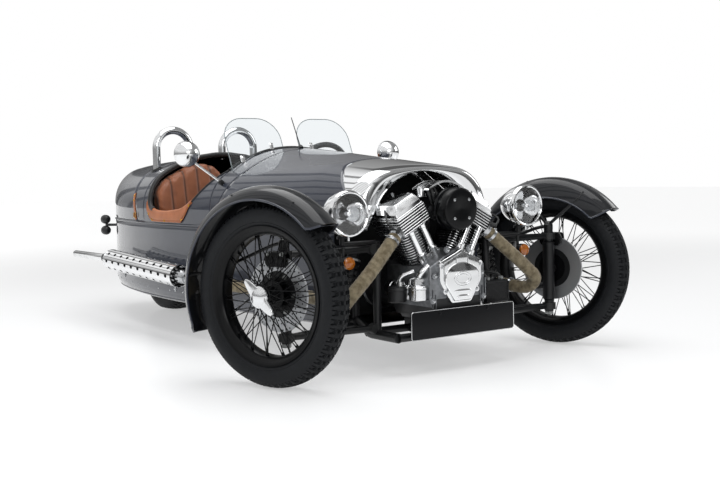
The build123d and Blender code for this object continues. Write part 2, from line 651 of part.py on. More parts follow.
ARM_X = ARCH_HALF + 6.0 + 3.0 + 18.0
PIVOT_Y = RAIL_REAR - 110.0
PIVOT_Z = 285.0
arm_bits = [
    bar((-ARM_X, WHEELBASE, REAR_RADIUS), (ARM_X, WHEELBASE, REAR_RADIUS), AXLE_RADIUS),
    bar((-ARM_X - 24, PIVOT_Y, PIVOT_Z), (ARM_X + 24, PIVOT_Y, PIVOT_Z), 22.0)]
for side in (-1, 1):
    x = side * ARM_X
    arm_bits.append(bar((x, PIVOT_Y, PIVOT_Z), (x, WHEELBASE + 30, REAR_RADIUS), 18.0))
    arm_bits.append(block((x - 10, PIVOT_Y - 12, rail_z + TOWER_RADIUS + GAP),
                          (x + 10, PIVOT_Y + 12, PIVOT_Z - 8)))
swingarm = arm_bits[0].fuse(*arm_bits[1:])
export_node("swingarm", swingarm)

ARCH_WALL = 6.0
arch_box = block((-ARCH_HALF - ARCH_WALL, arch_front - 20, FLOOR_Z + SHEET + GAP),
                 (ARCH_HALF + ARCH_WALL, arch_rear + ARCH_WALL, ARCH_Z + ARCH_WALL))
arch_box -= block((-ARCH_HALF, arch_front - 14, FLOOR_Z), (ARCH_HALF, arch_rear, ARCH_Z))
arch_box -= Pos(0, WHEELBASE, REAR_RADIUS) * (Rot(0, 90, 0) * Cylinder(AXLE_RADIUS + 8, 600))
export_node("rear_wheel_arch", arch_box)


# ---------------------------------------------------------------- engine
def on_cylinder(side, shape):
    """Puts a piece made along a cylinder (x outboard, y rearward, z from the crank) in place."""
    turn = math.radians(BANK_ANGLE)
    frame = Plane(origin=(0, ENGINE_Y, CRANK_Z), x_dir=(math.cos(turn), 0, -math.sin(turn)),
                  z_dir=(math.sin(turn), 0, math.cos(turn)))
    placed = frame * shape
    return placed if side > 0 else mirrored(placed)


def slab(width, depth, corner, low, high):
    """A plate with round corners across the cylinder, from low to high."""
    plate = extrude(RectangleRounded(width, depth, corner), amount=high - low)
    return Pos(0, 0, low) * plate


def finned_cylinder():
    """Barrel and head: a round core and a square one, with their cooling fins."""
    bits = [Pos(0, 0, (BARREL_LOW + BARREL_HIGH) / 2)
            * Cylinder(CORE_RADIUS, BARREL_HIGH - BARREL_LOW)]
    bits.append(slab(2 * HEAD_HALF - 30, 2 * HEAD_HALF_DEPTH - 30, 18, BARREL_HIGH, HEAD_HIGH))
    level = BARREL_LOW + 8
    while level < BARREL_HIGH - FIN_PITCH:
        bits.append(slab(2 * BARREL_HALF, 2 * BARREL_HALF, 30, level, level + FIN_THICK))
        level += FIN_PITCH
    level = BARREL_HIGH
    while level < HEAD_HIGH - FIN_THICK:
        bits.append(slab(2 * HEAD_HALF, 2 * HEAD_HALF_DEPTH, 16, level, level + FIN_THICK))
        level += FIN_PITCH
    return bits[0].fuse(*bits[1:])


def rocker_cover():
    """Polished cover: a straight skirt and a faceted, narrower top."""
    width, depth = 2 * HEAD_HALF - 12, 2 * HEAD_HALF_DEPTH - 6
    middle = HEAD_HIGH + 22
    skirt = slab(width, depth, 10, HEAD_HIGH + GAP, middle)
    top = loft([Pos(0, 0, middle) * RectangleRounded(width - 6, depth - 6, 10),
                Pos(-8, 0, COVER_HIGH) * RectangleRounded(width - 44, depth - 40, 10)])
    return skirt + top


barrel, cover = finned_cylinder(), rocker_cover()
cylinders = [on_cylinder(side, barrel) for side in (1, -1)]
export_node("cylinders", *cylinders)
export_node("rocker_covers", on_cylinder(1, cover), on_cylinder(-1, cover))


def bank_point(across, along):
    """(x, z) of a point on the left cylinder: across is outboard, along is from the crank."""
    turn = math.radians(BANK_ANGLE)
    return (along * math.sin(turn) + across * math.cos(turn),
            CRANK_Z + along * math.cos(turn) - across * math.sin(turn))


front_plane = Plane(origin=(0, 0, 0), x_dir=(1, 0, 0), z_dir=(0, -1, 0))


def front_prism(points, low_y, high_y):
    """A prism along the car from points given as (x, z)."""
    face = front_plane * make_face(Polyline(*points, close=True))
    return Pos(0, high_y, 0) * extrude(face, amount=high_y - low_y)


deck = BARREL_LOW - GAP
outer_deck, inner_deck = bank_point(BARREL_HALF, deck), bank_point(-BARREL_HALF, deck)
case_half = [(CASE_HALF - 10, CRANK_Z - 85), (outer_deck[0], CRANK_Z), outer_deck, inner_deck]
case_outline = case_half + [(-x, z) for x, z in reversed(case_half)]
crankcase = front_prism(case_outline, CASE_FRONT, CASE_REAR)
BELL_RADIUS = 108.0
crankcase += bar((0, CASE_REAR - 5, CRANK_Z + 10), (0, FIREWALL_Y - GAP, CRANK_Z + 10),
                 BELL_RADIUS)
crankcase += Pos(-outer_deck[0] - 24, -70, CRANK_Z + 38) * (Rot(90, 0, 0) * Cylinder(36, 150))
export_node("engine_crankcase", crankcase)

# x, z of half the shield-shaped cover on the front of the crankcase
CAM_COVER = ((0, 180), (98, 138), (104, 62), (44, -26))
cam_half = [(x, CRANK_Z + z) for x, z in CAM_COVER]
cam_outline = cam_half + [(-x, z) for x, z in reversed(cam_half[1:])]
cam_cover = front_prism(cam_outline, CAM_COVER_FRONT, CASE_FRONT - GAP)
cam_cover = chamfer(cam_cover.faces().sort_by(Axis.Y)[0].edges(), 7)
export_node("cam_cover", cam_cover)

TUBE_Y = -112.0 - ENGINE_Y
TUBE_X = 24.0
rods = []
for side in (1, -1):
    for across in (-TUBE_X, TUBE_X):
        rod = Pos(across, TUBE_Y, (deck + BARREL_HIGH) / 2) * Cylinder(
            PUSHROD_RADIUS - 2, BARREL_HIGH - deck - 2 * GAP)
        base = Pos(across, TUBE_Y - 3, deck + GAP + 18) * Cylinder(PUSHROD_RADIUS, 36)
        rods.append(on_cylinder(side, rod + base))
export_node("pushrod_tubes", *rods)

cleaner = Pos(0, CLEANER_FRONT + CLEANER_DEPTH / 2, CLEANER_Z) * (
    Rot(90, 0, 0) * Cylinder(CLEANER_RADIUS, CLEANER_DEPTH))
cleaner = chamfer(cleaner.faces().sort_by(Axis.Y)[0].edges(), 8)
INTAKE_Z = 604.0
throat = bar((0, CLEANER_FRONT + CLEANER_DEPTH - 4, CLEANER_Z - 8), (0, ENGINE_Y, INTAKE_Z), 30.0)
runner = bar((-110, ENGINE_Y, INTAKE_Z), (110, ENGINE_Y, INTAKE_Z), 24.0)
cleaner = cleaner.fuse(throat, runner)
for side in (1, -1):
    head = slab(2 * HEAD_HALF, 2 * HEAD_HALF_DEPTH, 16, BARREL_HIGH - 20, COVER_HIGH + 20)
    cleaner -= on_cylinder(side, Pos(GAP, 0, 0) * head)
    cleaner -= on_cylinder(side, Pos(-GAP, 0, 0) * head)
export_node("air_cleaner", cleaner)

# half of the left exhaust's route, from the head outwards and back to the silencer
port = bank_point(HEAD_HALF + GAP, 322.0)
HEADER_ROUTE = (
    (384.0, -129.0, 395.0), (478.0, -126.0, 296.0), (438.0, 60.0, 288.0), (430.0, 300.0, 284.0),
    (448.0, 700.0, 286.0))
HEADER_BENDS = (60.0, 55.0, 150.0, 250.0, 300.0, 150.0)
CONE = 118.0
silencer_front = Vector(SILENCER_X, SILENCER_FRONT - CONE, SILENCER_Z - 5)
silencer_rear = Vector(SILENCER_X, SILENCER_REAR + 60, SILENCER_Z + SILENCER_RISE)
silencer_axis = (silencer_rear - silencer_front).normalized()
route = [(port[0], -90.0, port[1]), *HEADER_ROUTE, silencer_front - silencer_axis * 95,
         silencer_front]
header = tube(route, PIPE_RADIUS, bends=list(HEADER_BENDS))
header_cut = on_cylinder(1, slab(2 * HEAD_HALF + 2 * GAP, 2 * HEAD_HALF_DEPTH, 16, 240, 420))
header -= header_cut
export_node("exhaust_pipes", header, mirrored(header))


def silencer():
    """Perforated shield with its cones, brackets to the body and tail pipe."""
    start, end = silencer_front, silencer_rear
    length = (end - start).length
    profile = [(0, 0), (PIPE_RADIUS + 3, 0), (SILENCER_RADIUS, CONE),
               (SILENCER_RADIUS, length - 60), (TAILPIPE_RADIUS + 4, length), (0, length)]
    can = revolve(Plane.XZ * make_face(Polyline(*profile, close=True)), axis=Axis.Z)
    can = Plane(origin=start, z_dir=end - start) * (Pos(0, 0, GAP) * can)
    tail_end_point = (TAILPIPE_END_X, TAILPIPE_END, SILENCER_Z + SILENCER_RISE - 6)
    tail = bar(tuple(end), tail_end_point, TAILPIPE_RADIUS)
    out = Vector(*tail_end_point) - end
    bore = Plane(origin=tail_end_point, z_dir=out * -1) * Cylinder(
        TAILPIPE_BORE, 120, align=(Align.CENTER, Align.CENTER, Align.MIN))
    can = can + tail - bore
    for bracket_y in (1200.0, 1800.0):
        edge = max(half_width(bracket_y - 12), half_width(bracket_y + 12)) + GAP
        z = SILENCER_Z + SILENCER_RISE * (bracket_y - SILENCER_FRONT) / 800
        can += block((edge, bracket_y - 12, z - 10), (SILENCER_X - 20, bracket_y + 12, z + 10))
    return can


TAILPIPE_END_X = 530.0
can = silencer()
export_node("silencers", can, mirrored(can))

COOLER = ((165.0, -165.0, 240.0), (285.0, -128.0, 330.0))
cooler = block(*COOLER)
for level in range(246, 326, 9):
    cooler -= block((170, -166, level), (280, -158, level + 4))
cooler += block((TOWER_X - 8, -154, CRADLE_Z + RAIL_RADIUS + GAP), (TOWER_X + 5, -140, 242))
export_node("oil_cooler", cooler)


# ---------------------------------------------------------------- inside the body
def inside_section(y, inset):
    """The whole inside outline at y, floor to roof, as one face."""
    above = upper_section(y, inset=inset, base=BELT_Z - 1)
    return above + tub_section(y, inset=inset)


firewall_depth = 6.0
firewall = extrude(inside_section(FIREWALL_Y, SHEET + 3), amount=-firewall_depth)
for side in (-1, 1):
    firewall -= bar((side * TOWER_X, 200, rail_z), (side * TOWER_X, 500, rail_z),
                    RAIL_RADIUS + GAP)
tunnel = block((-TUNNEL_HALF, FIREWALL_Y + firewall_depth - 1, FLOOR_Z + SHEET + GAP),
               (TUNNEL_HALF, SEAT_Y - 10, TUNNEL_Z))
tunnel = fillet(tunnel.edges().filter_by(Axis.Y).sort_by(Axis.Z)[-2:], 30)
export_node("firewall_tunnel", firewall + tunnel)

cabin = (loft_between(upper_section, 1100.0, 2000.0, inset=SHEET + 8, base=BELT_Z - 1)
         + loft_between(tub_section, 1100.0, 2000.0, inset=SHEET + 8))
cabin &= block((-500, 1050, SEAT_BOTTOM), (500, 2000, TOP_Z))


def seat_back(side):
    """A round-shouldered backrest, raked, trimmed to the body it leans in."""
    rake = math.radians(SEAT_RAKE)
    plane = Plane(origin=(side * SEAT_X, SEAT_Y, SEAT_BOTTOM), x_dir=(1, 0, 0),
                  z_dir=(0, -math.cos(rake), math.sin(rake)))
    outline = Pos(0, SEAT_HEIGHT / 2) * RectangleRounded(2 * SEAT_HALF, SEAT_HEIGHT, 120)
    foot = Pos(0, SEAT_HEIGHT / 4) * RectangleRounded(2 * SEAT_HALF, SEAT_HEIGHT / 2, 20)
    return extrude(plane * (outline + foot), amount=-SEAT_THICK) & cabin


def cushion(side):
    """A plain seat cushion between the tunnel and the body's side."""
    inner = TUNNEL_HALF + 6
    outer = half_width(1200.0) - SHEET - 16
    middle, width = (inner + outer) / 2, outer - inner
    depth = SEAT_Y - 8 - CUSHION_FRONT
    pad = extrude(RectangleRounded(width, depth, 40), amount=CUSHION_HEIGHT)
    return Pos(side * middle, CUSHION_FRONT + depth / 2, SEAT_BOTTOM) * pad & cabin


backs = [seat_back(side) for side in (1, -1)]
export_node("seat_backs", *backs)
export_node("seat_cushions", cushion(1), cushion(-1))

RIM_IN, RIM_OUT, RIM_DEEP = 20.0, 4.0, 26.0
rim_shell = (loft_between(upper_section, 900.0, 1900.0, inset=-RIM_OUT)
             - loft_between(upper_section, 899.0, 1901.0, inset=RIM_IN, base=BELT_Z - 1))
rear_rim = rim_shell & side_prism([
    (DECK_FRONT - 5 - GAP, 645), (DECK_FRONT + 12 - GAP, 700), (1765 - GAP, 890),
    (1775 - GAP, TOP_Z), (1775 - RIM_DEEP, TOP_Z), (1765 - RIM_DEEP, 890),
    (DECK_FRONT + 12 - RIM_DEEP, 700), (DECK_FRONT - 5 - RIM_DEEP, 645)])
front_rim = rim_shell & side_prism([
    (OPENING_FRONT + GAP, TOP_Z), (OPENING_FRONT + GAP, 800), (OPENING_FRONT + 14, 800),
    (OPENING_FRONT + 14, TOP_Z)])
export_node("cockpit_rim", rear_rim, front_rim)

TRIM_PROUD = 4.0
trim_shell = (loft_between(upper_section, 1150.0, 1850.0, inset=-TRIM_PROUD)
              - loft_between(upper_section, 1149.0, 1851.0, inset=SHEET + TRIM_PROUD,
                             base=BELT_Z - 1))
trim_shell &= side_prism([
    (1222, 655), (1290, 580), (1320, 556), (1640, 556), (1678, 580), (1692 - RIM_DEEP, 640),
    (1640, 617), (1540, 603), (1420, 607), (1302, 623)])
trim_shell -= surround
trims = trim_shell.solids()
export_node("elbow_trims", *trims)

# ---------------------------------------------------------------- dash and steering
dash = loft_between(upper_section, 1000.0, 1100.0, inset=SHEET + 8, base=600.0)
dash &= block((-500, OPENING_FRONT - 18, 640), (500, OPENING_FRONT - 10, 1000))
tilt = math.radians(WHEEL_TILT)
column_dir = Vector(0, math.cos(tilt), math.sin(tilt))
wheel_centre = Vector(DRIVER_X, WHEEL_Y, WHEEL_Z)
column_end = wheel_centre - column_dir * 28
column_start = wheel_centre - column_dir * 700
dash += bar(tuple(column_start), tuple(column_end - column_dir * GAP), 16.0)
export_node("dashboard", dash)


def steering_wheel():
    """Round grip, four flat spokes and a boss, made about its own axis along +Z."""
    grip = Torus(WHEEL_RADIUS - WHEEL_GRIP, WHEEL_GRIP)
    bits = [Pos(0, 0, -14) * Cylinder(30, 28)]
    for step in range(4):
        spoke = Pos((WHEEL_RADIUS - WHEEL_GRIP) / 2, 0, -4) * Box(WHEEL_RADIUS - WHEEL_GRIP, 22, 5)
        bits.append(Rot(0, 0, 45 + 90 * step) * spoke)
    return grip.fuse(*bits)


steering = Plane(origin=tuple(wheel_centre), x_dir=(1, 0, 0), z_dir=tuple(column_dir)) \
    * steering_wheel()
export_node("steering_wheel", steering)

# ---------------------------------------------------------------- fittings
skin = upper_outside


def hoop(side):
    """A polished roll hoop, its feet shaped to the deck."""
    x, half = side * HOOP_X, HOOP_HALF
    turn = HOOP_TOP - HOOP_RADIUS - half
    low = 760.0
    legs = [bar((x + s * half, HOOP_Y, low), (x + s * half, HOOP_Y, turn), HOOP_RADIUS)
            for s in (-1, 1)]
    plane = Plane(origin=(x, HOOP_Y, turn), x_dir=(1, 0, 0), z_dir=(0, 1, 0))
    bend = Pos(x, HOOP_Y, turn) * (Rot(90, 0, 0) * Torus(half, HOOP_RADIUS))
    bend &= block((x - 200, HOOP_Y - 60, turn), (x + 200, HOOP_Y + 60, turn + 200))
    return bend.fuse(*legs) - skin


export_node("roll_hoops", hoop(1), hoop(-1))

SCREEN_Y = 1000.0
SCREEN_LEAN = 24.0
SCREEN_HALF = 150.0
SCREEN_TOP = 1042.0
SCREEN_THICK = 5.0


def aero_screen(side):
    """A clear, round-topped screen that leans back from the scuttle."""
    lean = math.radians(SCREEN_LEAN)
    plane = Plane(origin=(side * HOOP_X, SCREEN_Y, 800.0), x_dir=(1, 0, 0),
                  z_dir=(0, -math.cos(lean), math.sin(lean)))
    height = (SCREEN_TOP - 800.0) / math.cos(lean)
    sheet = Pos(0, height / 2) * RectangleRounded(2 * SCREEN_HALF, height, 110)
    sheet += Pos(0, height / 4) * Rectangle(2 * SCREEN_HALF, height / 2)
    screen = extrude(plane * sheet, amount=SCREEN_THICK) - skin - front_rim
    return max(screen.solids(), key=lambda solid: solid.volume)


export_node("aero_screens", aero_screen(1), aero_screen(-1))


def mirror_piece(side):
    """Bullet mirror, glass to the rear, on a stalk from the scuttle."""
    profile = [Line((0, -46), (0, 12)), Line((0, 12), (MIRROR_RADIUS, 12)),
               Line((MIRROR_RADIUS, 12), (MIRROR_RADIUS, 0)),
               ThreePointArc((MIRROR_RADIUS, 0), (36, -34), (0, -46))]
    head = revolve(Plane.XY * make_face(profile), axis=Axis.Y)
    head = Pos(side * MIRROR_X, MIRROR_Y, MIRROR_Z) * head
    stalk = bar((side * (MIRROR_X - 25), MIRROR_Y - 12, MIRROR_Z - 30), (side * 400, 985, 735), 7)
    return (head + stalk) - skin


export_node("mirrors", mirror_piece(1), mirror_piece(-1))


LAMP_BRACKET_Y = -48.0
LAMP_ARM_Z = 506.0
LAMP_ARM_RADIUS = 9.0


def headlamp(side):
    """Bowl lamp with its ring, on a bracket from the top of the suspension tower."""
    r, deep = LAMP_RADIUS, LAMP_DEPTH
    profile = [Line((0, 0), (r - 6, 0)), Line((r - 6, 0), (r, 8)), Line((r, 8), (r, 22)),
               Line((r, 22), (r - 5, 26)),
               ThreePointArc((r - 5, 26), (r * 0.74, deep * 0.62), (0, deep)),
               Line((0, deep), (0, 0))]
    bowl = Pos(side * LAMP_X, LAMP_Y, LAMP_Z) * revolve(Plane.XY * make_face(profile), axis=Axis.Y)
    low = (side * LAMP_X, LAMP_BRACKET_Y, LAMP_ARM_Z)
    post = bar((side * LAMP_X, LAMP_BRACKET_Y, LAMP_Z - 60), low, 11.0)
    arm = bar(low, (side * TOWER_X, TOWER_FRONT_Y, LAMP_ARM_Z), LAMP_ARM_RADIUS)
    foot = Pos(side * TOWER_X, TOWER_FRONT_Y, TOWER_TOP + GAP + 7) * Cylinder(TOWER_RADIUS, 14)
    return bowl.fuse(post, arm, foot)


export_node("headlamps", headlamp(1), headlamp(-1))

INDICATOR = (446.0, -94.0, 437.0)


def indicator(side):
    """Round amber lamp hung from the headlamp's bracket."""
    x, y, z = side * INDICATOR[0], INDICATOR[1], INDICATOR[2]
    lamp = Pos(x, y + 22, z) * (Rot(90, 0, 0) * Cylinder(25, 44))
    stalk = bar((x, LAMP_BRACKET_Y, z), (x, LAMP_BRACKET_Y, LAMP_ARM_Z - LAMP_ARM_RADIUS - GAP), 6.0)
    return fillet(lamp.faces().sort_by(Axis.Y)[0].edges(), 10) + stalk


export_node("front_indicators", indicator(1), indicator(-1))

tub_outside = loft_between(tub_section, 2300.0, tail_end())
REAR_LAMP = (258.0, TAIL_TIP - 59.0)
LAMP_ROOT_Y = TAIL_TIP - 149.0


def rear_lamp(side):
    """Two small round lamps on one bracket at the side of the tail."""
    x, y = side * REAR_LAMP[0], REAR_LAMP[1]
    bits = [Pos(x, y, z) * (Rot(90, 0, 0) * Cylinder(27, 52)) for z in (528.0, 462.0)]
    wall = half_width(LAMP_ROOT_Y + 20)
    bits.append(block((x - 5, y - 14, 462), (x + 5, y + 6, 528)))
    bits.append(bar((x, y - 4, 495), (side * (wall - 16), LAMP_ROOT_Y, 495), 8.0))
    lamp = bits[0].fuse(*bits[1:])
    return lamp - tub_outside


export_node("rear_lamps", rear_lamp(1), rear_lamp(-1))

plate = block((-PLATE_HALF, PLATE_Y, PLATE_Z - PLATE_HEIGHT / 2),
              (PLATE_HALF, PLATE_Y + 3, PLATE_Z + PLATE_HEIGHT / 2))
plate = fillet(plate.edges().filter_by(Axis.Y), 10)
export_node("number_plate", plate)

mast = bar((0, 950, 880), (0, 1036, 1046), 2.5) + Pos(0, 958, 899) * Cylinder(13, 14)
export_node("antenna", mast - skin)
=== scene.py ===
# %% [markdown]
# # A three-wheeled roadster, dressed
#
# The frame that is loaded here holds every part of the car at its real size: bodies, joints and
# plain solids. This script gives those parts the surfaces and finishes of the real car. It works
# in metres in the same frame: the front of the car looks along -Y, its left is +X, up is +Z.

# %% Load the frame
import json
import math
import bmesh
import bpy
import numpy as np
from mathutils import Matrix, Vector


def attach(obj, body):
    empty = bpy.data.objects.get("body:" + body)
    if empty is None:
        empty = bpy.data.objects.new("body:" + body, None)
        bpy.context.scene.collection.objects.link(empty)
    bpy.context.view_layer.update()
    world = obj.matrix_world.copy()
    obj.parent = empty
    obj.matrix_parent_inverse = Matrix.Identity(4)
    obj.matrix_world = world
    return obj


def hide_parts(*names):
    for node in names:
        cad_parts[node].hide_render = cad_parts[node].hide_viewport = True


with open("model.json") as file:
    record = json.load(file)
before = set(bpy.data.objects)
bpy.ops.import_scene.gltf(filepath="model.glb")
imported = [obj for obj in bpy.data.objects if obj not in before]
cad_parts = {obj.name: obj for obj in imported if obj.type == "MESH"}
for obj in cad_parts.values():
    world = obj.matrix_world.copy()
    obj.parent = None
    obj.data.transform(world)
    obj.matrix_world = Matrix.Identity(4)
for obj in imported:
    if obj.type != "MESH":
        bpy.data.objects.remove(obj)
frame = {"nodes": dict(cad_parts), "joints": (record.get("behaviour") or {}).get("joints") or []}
studio = bpy.context.scene
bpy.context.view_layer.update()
joints = {joint["name"]: joint for joint in frame["joints"]}
chance = np.random.default_rng(20)

# %% [markdown]
# The drawing of this car counts its stations from the front axle, so the pieces below are worked
# out with y = 0 there and moved as they are built. The kingpins, wheels and lid take their places
# from the joints, so a piece that turns sits where its joint is.

# %% Places and sizes
AXLE_Y = joints["steer_right_turn"]["pos_m"][1]     # the front axle, in the frame
LID_HINGE = Vector(joints["boot_lid_hinge"]["pos_m"])
REAR_AXLE_Y = joints["wheel_rear_spin"]["pos_m"][1] - AXLE_Y
BELT = 0.547                # moulding between the lower and upper panels
FLOOR = 0.156
FLOOR_CORNER = 0.060
WIDEST = 1.500              # station of the widest place
HALF_WIDTH = 0.465
NOSE_HALF_WIDTH = 0.335
TAIL = 1.349
SHOULDER = 0.200            # corner radius of the upper panels
SHEET_METAL = 0.003
SHUT = 0.004                # gap between panels
TUB_FRONT = 0.150
COCKPIT_FRONT, COCKPIT_REAR = 1.040, 1.765
TAIL_CLOSED = 1.5678        # the tail's last angle, a hair under a right angle
RIDE = "chassis"
print("front axle at", round(AXLE_Y, 4), "rear axle", round(REAR_AXLE_Y, 3), "behind it")

# %% [markdown]
# ## Meshes from arrays
#
# Every surface here is a grid of points: two parameters go in, an array of shape (rows, columns,
# 3) comes out, and its faces join neighbours. A shape is the pair (points, faces), so shapes can be
# turned, repeated and joined as arrays before they become one mesh. Modelling by hand would give
# the same look, but a formula can be changed by a single number. Profiles and outlines are written
# in millimetres, as on a workshop drawing.

# %% Grids, tubes, turned and cut shapes
def mm(*points):
    """Points written in millimetres, as an array in metres: each number divided by 1000."""
    return np.array(points, float) / 1000


def sheet(points, wrap_rows=False, wrap_columns=False):
    """Faces join each point of a (rows, columns, 3) grid to its right and lower neighbours."""
    rows, columns = points.shape[:2]
    index = np.arange(rows * columns).reshape(rows, columns)
    if wrap_rows:
        index = np.vstack([index, index[:1]])
    if wrap_columns:
        index = np.hstack([index, index[:, :1]])
    faces = np.stack([index[:-1, :-1], index[:-1, 1:], index[1:, 1:], index[1:, :-1]], -1)
    return points.reshape(-1, 3), faces.reshape(-1, 4).tolist()


def capped(shape, count):
    """A grid of rings, count points each, with a flat face over its first and last ring."""
    points, faces = shape
    last = len(points) - count
    return points, faces + [list(range(count))[::-1], list(range(last, last + count))]


def joined(*shapes):
    """Several shapes as one: the points are stacked and the faces count on."""
    points, faces, start = [], [], 0
    for shape_points, shape_faces in shapes:
        points.append(shape_points)
        faces.extend([[corner + start for corner in face] for face in shape_faces])
        start += len(shape_points)
    return np.vstack(points), faces


def moved(shape, matrix):
    """The shape after a 4 x 4 matrix: rotation times each point, plus the shift."""
    matrix = np.array(matrix, float)
    flip = np.linalg.det(matrix[:3, :3]) < 0
    faces = [face[::-1] for face in shape[1]] if flip else shape[1]
    return shape[0] @ matrix[:3, :3].T + matrix[:3, 3], faces


def repeated(shape, matrices):
    """One copy of the shape for each matrix, all worked out in one product of arrays."""
    matrices = np.array(matrices, float)
    points = np.einsum("kij,nj->kni", matrices[:, :3, :3], shape[0]) + matrices[:, None, :3, 3]
    count = len(shape[0])
    faces = [[corner + copy * count for corner in face] for copy in range(len(matrices))
        for face in shape[1]]
    return points.reshape(-1, 3), faces


def both_sides(shape):
    """The shape and its mirror image across the car."""
    return joined(shape, moved(shape, Matrix.Diagonal((-1, 1, 1, 1))))


def at(x, y, z):
    """A matrix that only moves."""
    return Matrix.Translation((x, y, z))


def turn(degrees, axis):
    """A matrix that turns about an axis through the origin."""
    return Matrix.Rotation(math.radians(degrees), 4, axis)


def facing(place, direction, spin=0.0):
    """A matrix that lays local +Z along direction and puts the origin at place."""
    way = Vector(direction).to_track_quat("Z", "Y").to_matrix().to_4x4()
    return Matrix.Translation(place) @ way @ Matrix.Rotation(math.radians(spin), 4, "Z")


def turned(profile, steps=64):
    """A profile of (radius, height) carried round Z: x = r cos a, y = r sin a, z = height."""
    radius, height = np.array(profile, float).T
    angle = np.radians(np.linspace(0, 360, steps, endpoint=False))[:, None]
    points = [np.cos(angle) * radius, np.sin(angle) * radius, np.tile(height, (steps, 1))]
    return sheet(np.stack(points, -1), wrap_rows=True)


def smooth_line(points, count):
    """A Catmull-Rom curve: each span mixes its four nearest points by cubic weights."""
    p = np.array(points, float)
    p = np.vstack([2 * p[0] - p[1], p, 2 * p[-1] - p[-2]])
    t = np.linspace(0, len(p) - 3, count)
    i = np.minimum(t.astype(int), len(p) - 4)
    u = (t - i)[:, None]
    a, b, c, d = p[i], p[i + 1], p[i + 2], p[i + 3]
    return 0.5 * (2 * b + (c - a) * u + (2 * a - 5 * b + 4 * c - d) * u ** 2
        + (3 * b - a - 3 * c + d) * u ** 3)


def bent_line(points, radius, arc=8):
    """Straight runs joined by quadratic bends that start one radius before each corner."""
    p = np.array(points, float)
    out = [p[:1]]
    for before, corner, after in zip(p, p[1:], p[2:]):
        back, ahead = before - corner, after - corner
        reach = min(radius, 0.48 * np.linalg.norm(back), 0.48 * np.linalg.norm(ahead))
        start = corner + back / np.linalg.norm(back) * reach
        end = corner + ahead / np.linalg.norm(ahead) * reach
        u = np.linspace(0, 1, arc)[:, None]
        out.append((1 - u) ** 2 * start + 2 * u * (1 - u) * corner + u ** 2 * end)
    out.append(p[-1:])
    return np.vstack(out)


def tube(path, radius, sides=12, closed=False):
    """A circle carried along a path: point + r (cos a * side + sin a * top), square to the path.

    The radius is one number, one for each point of the path, or a (points, sides) array."""
    path = np.array(path, float)
    if closed:
        tangent = np.roll(path, -1, 0) - np.roll(path, 1, 0)
    else:
        tangent = np.gradient(path, axis=0)
    tangent /= np.linalg.norm(tangent, axis=1, keepdims=True)
    spread = np.abs(tangent).mean(0)
    reference = np.eye(3)[int(np.argmin(spread))]
    side = np.cross(tangent, reference)
    side /= np.linalg.norm(side, axis=1, keepdims=True)
    top = np.cross(side, tangent)
    angle = np.linspace(0, 2 * np.pi, sides, endpoint=False)
    ring = (np.cos(angle)[None, :, None] * side[:, None]
        + np.sin(angle)[None, :, None] * top[:, None])
    radius = np.asarray(radius, float)
    radius = radius.reshape(-1, 1) if radius.ndim < 2 else radius
    points = path[:, None] + ring * radius[..., None]
    shape = sheet(points, wrap_rows=closed, wrap_columns=True)
    return shape if closed else capped(shape, sides)


def plate(outline, low, high, bevel=0.0, rings=2):
    """An outline in XY as a prism: its rings shrink along the corner normals by the bevel."""
    outline = np.array(outline, float)
    ahead = np.roll(outline, -1, 0) - outline
    ahead /= np.linalg.norm(ahead, axis=1, keepdims=True)
    behind = np.roll(ahead, 1, 0)
    normal = np.stack([behind[:, 1] + ahead[:, 1], -behind[:, 0] - ahead[:, 0]], 1)
    normal /= np.maximum((normal ** 2).sum(1, keepdims=True) / 2, 0.5)
    turn_in = np.linspace(0, np.pi / 2, rings + 1)
    inset = np.concatenate([1 - np.sin(turn_in), (1 - np.sin(turn_in))[::-1]]) * bevel
    level = np.concatenate(
        [low + bevel * (1 - np.cos(turn_in)), (high - bevel * (1 - np.cos(turn_in)))[::-1]])
    points = np.concatenate([outline[None] - normal[None] * inset[:, None, None],
        np.broadcast_to(level[:, None, None], (len(level), len(outline), 1))], -1)
    return capped(sheet(points, wrap_columns=True), len(outline))


def rounded(width, depth, radius, steps=6):
    """A rectangle's outline with round corners, anticlockwise from the corner at +X +Y."""
    angle = np.linspace(0, np.pi / 2, steps)
    corners = []
    for quarter, (sx, sy) in enumerate(((1, 1), (-1, 1), (-1, -1), (1, -1))):
        a = angle + quarter * np.pi / 2
        corners.append(np.stack([sx * (width / 2 - radius) + radius * np.cos(a),
            sy * (depth / 2 - radius) + radius * np.sin(a)], 1))
    return np.vstack(corners)


def hexagon(across):
    """A nut's outline, measured across its flats."""
    angle = np.radians(np.arange(6) * 60.0)
    return np.stack([np.cos(angle), np.sin(angle)], 1) * across / math.sqrt(3)


bolt_head = joined(plate(hexagon(0.012), 0.0015, 0.008, 0.001),
    turned(mm((0, 0), (8.5, 0), (8.5, 1.5), (0, 1.5)), 16))
rivet = turned(mm((4.6, 0), (4.2, 1.2), (3, 2.4), (1.2, 3), (0, 3.1)), 10)
print("a bolt head has", len(bolt_head[1]), "faces")

# %% [markdown]
# A piece is one mesh of shapes, each with its own finish. Doubled points at poles and seams are
# merged, and closed shells get their normals worked out again, because a mirrored or turned
# profile can be inside out. Edges sharper than 35 degrees stay crisp. The object stays at the
# origin, so the place is in the mesh, as it is in the frame's own parts.

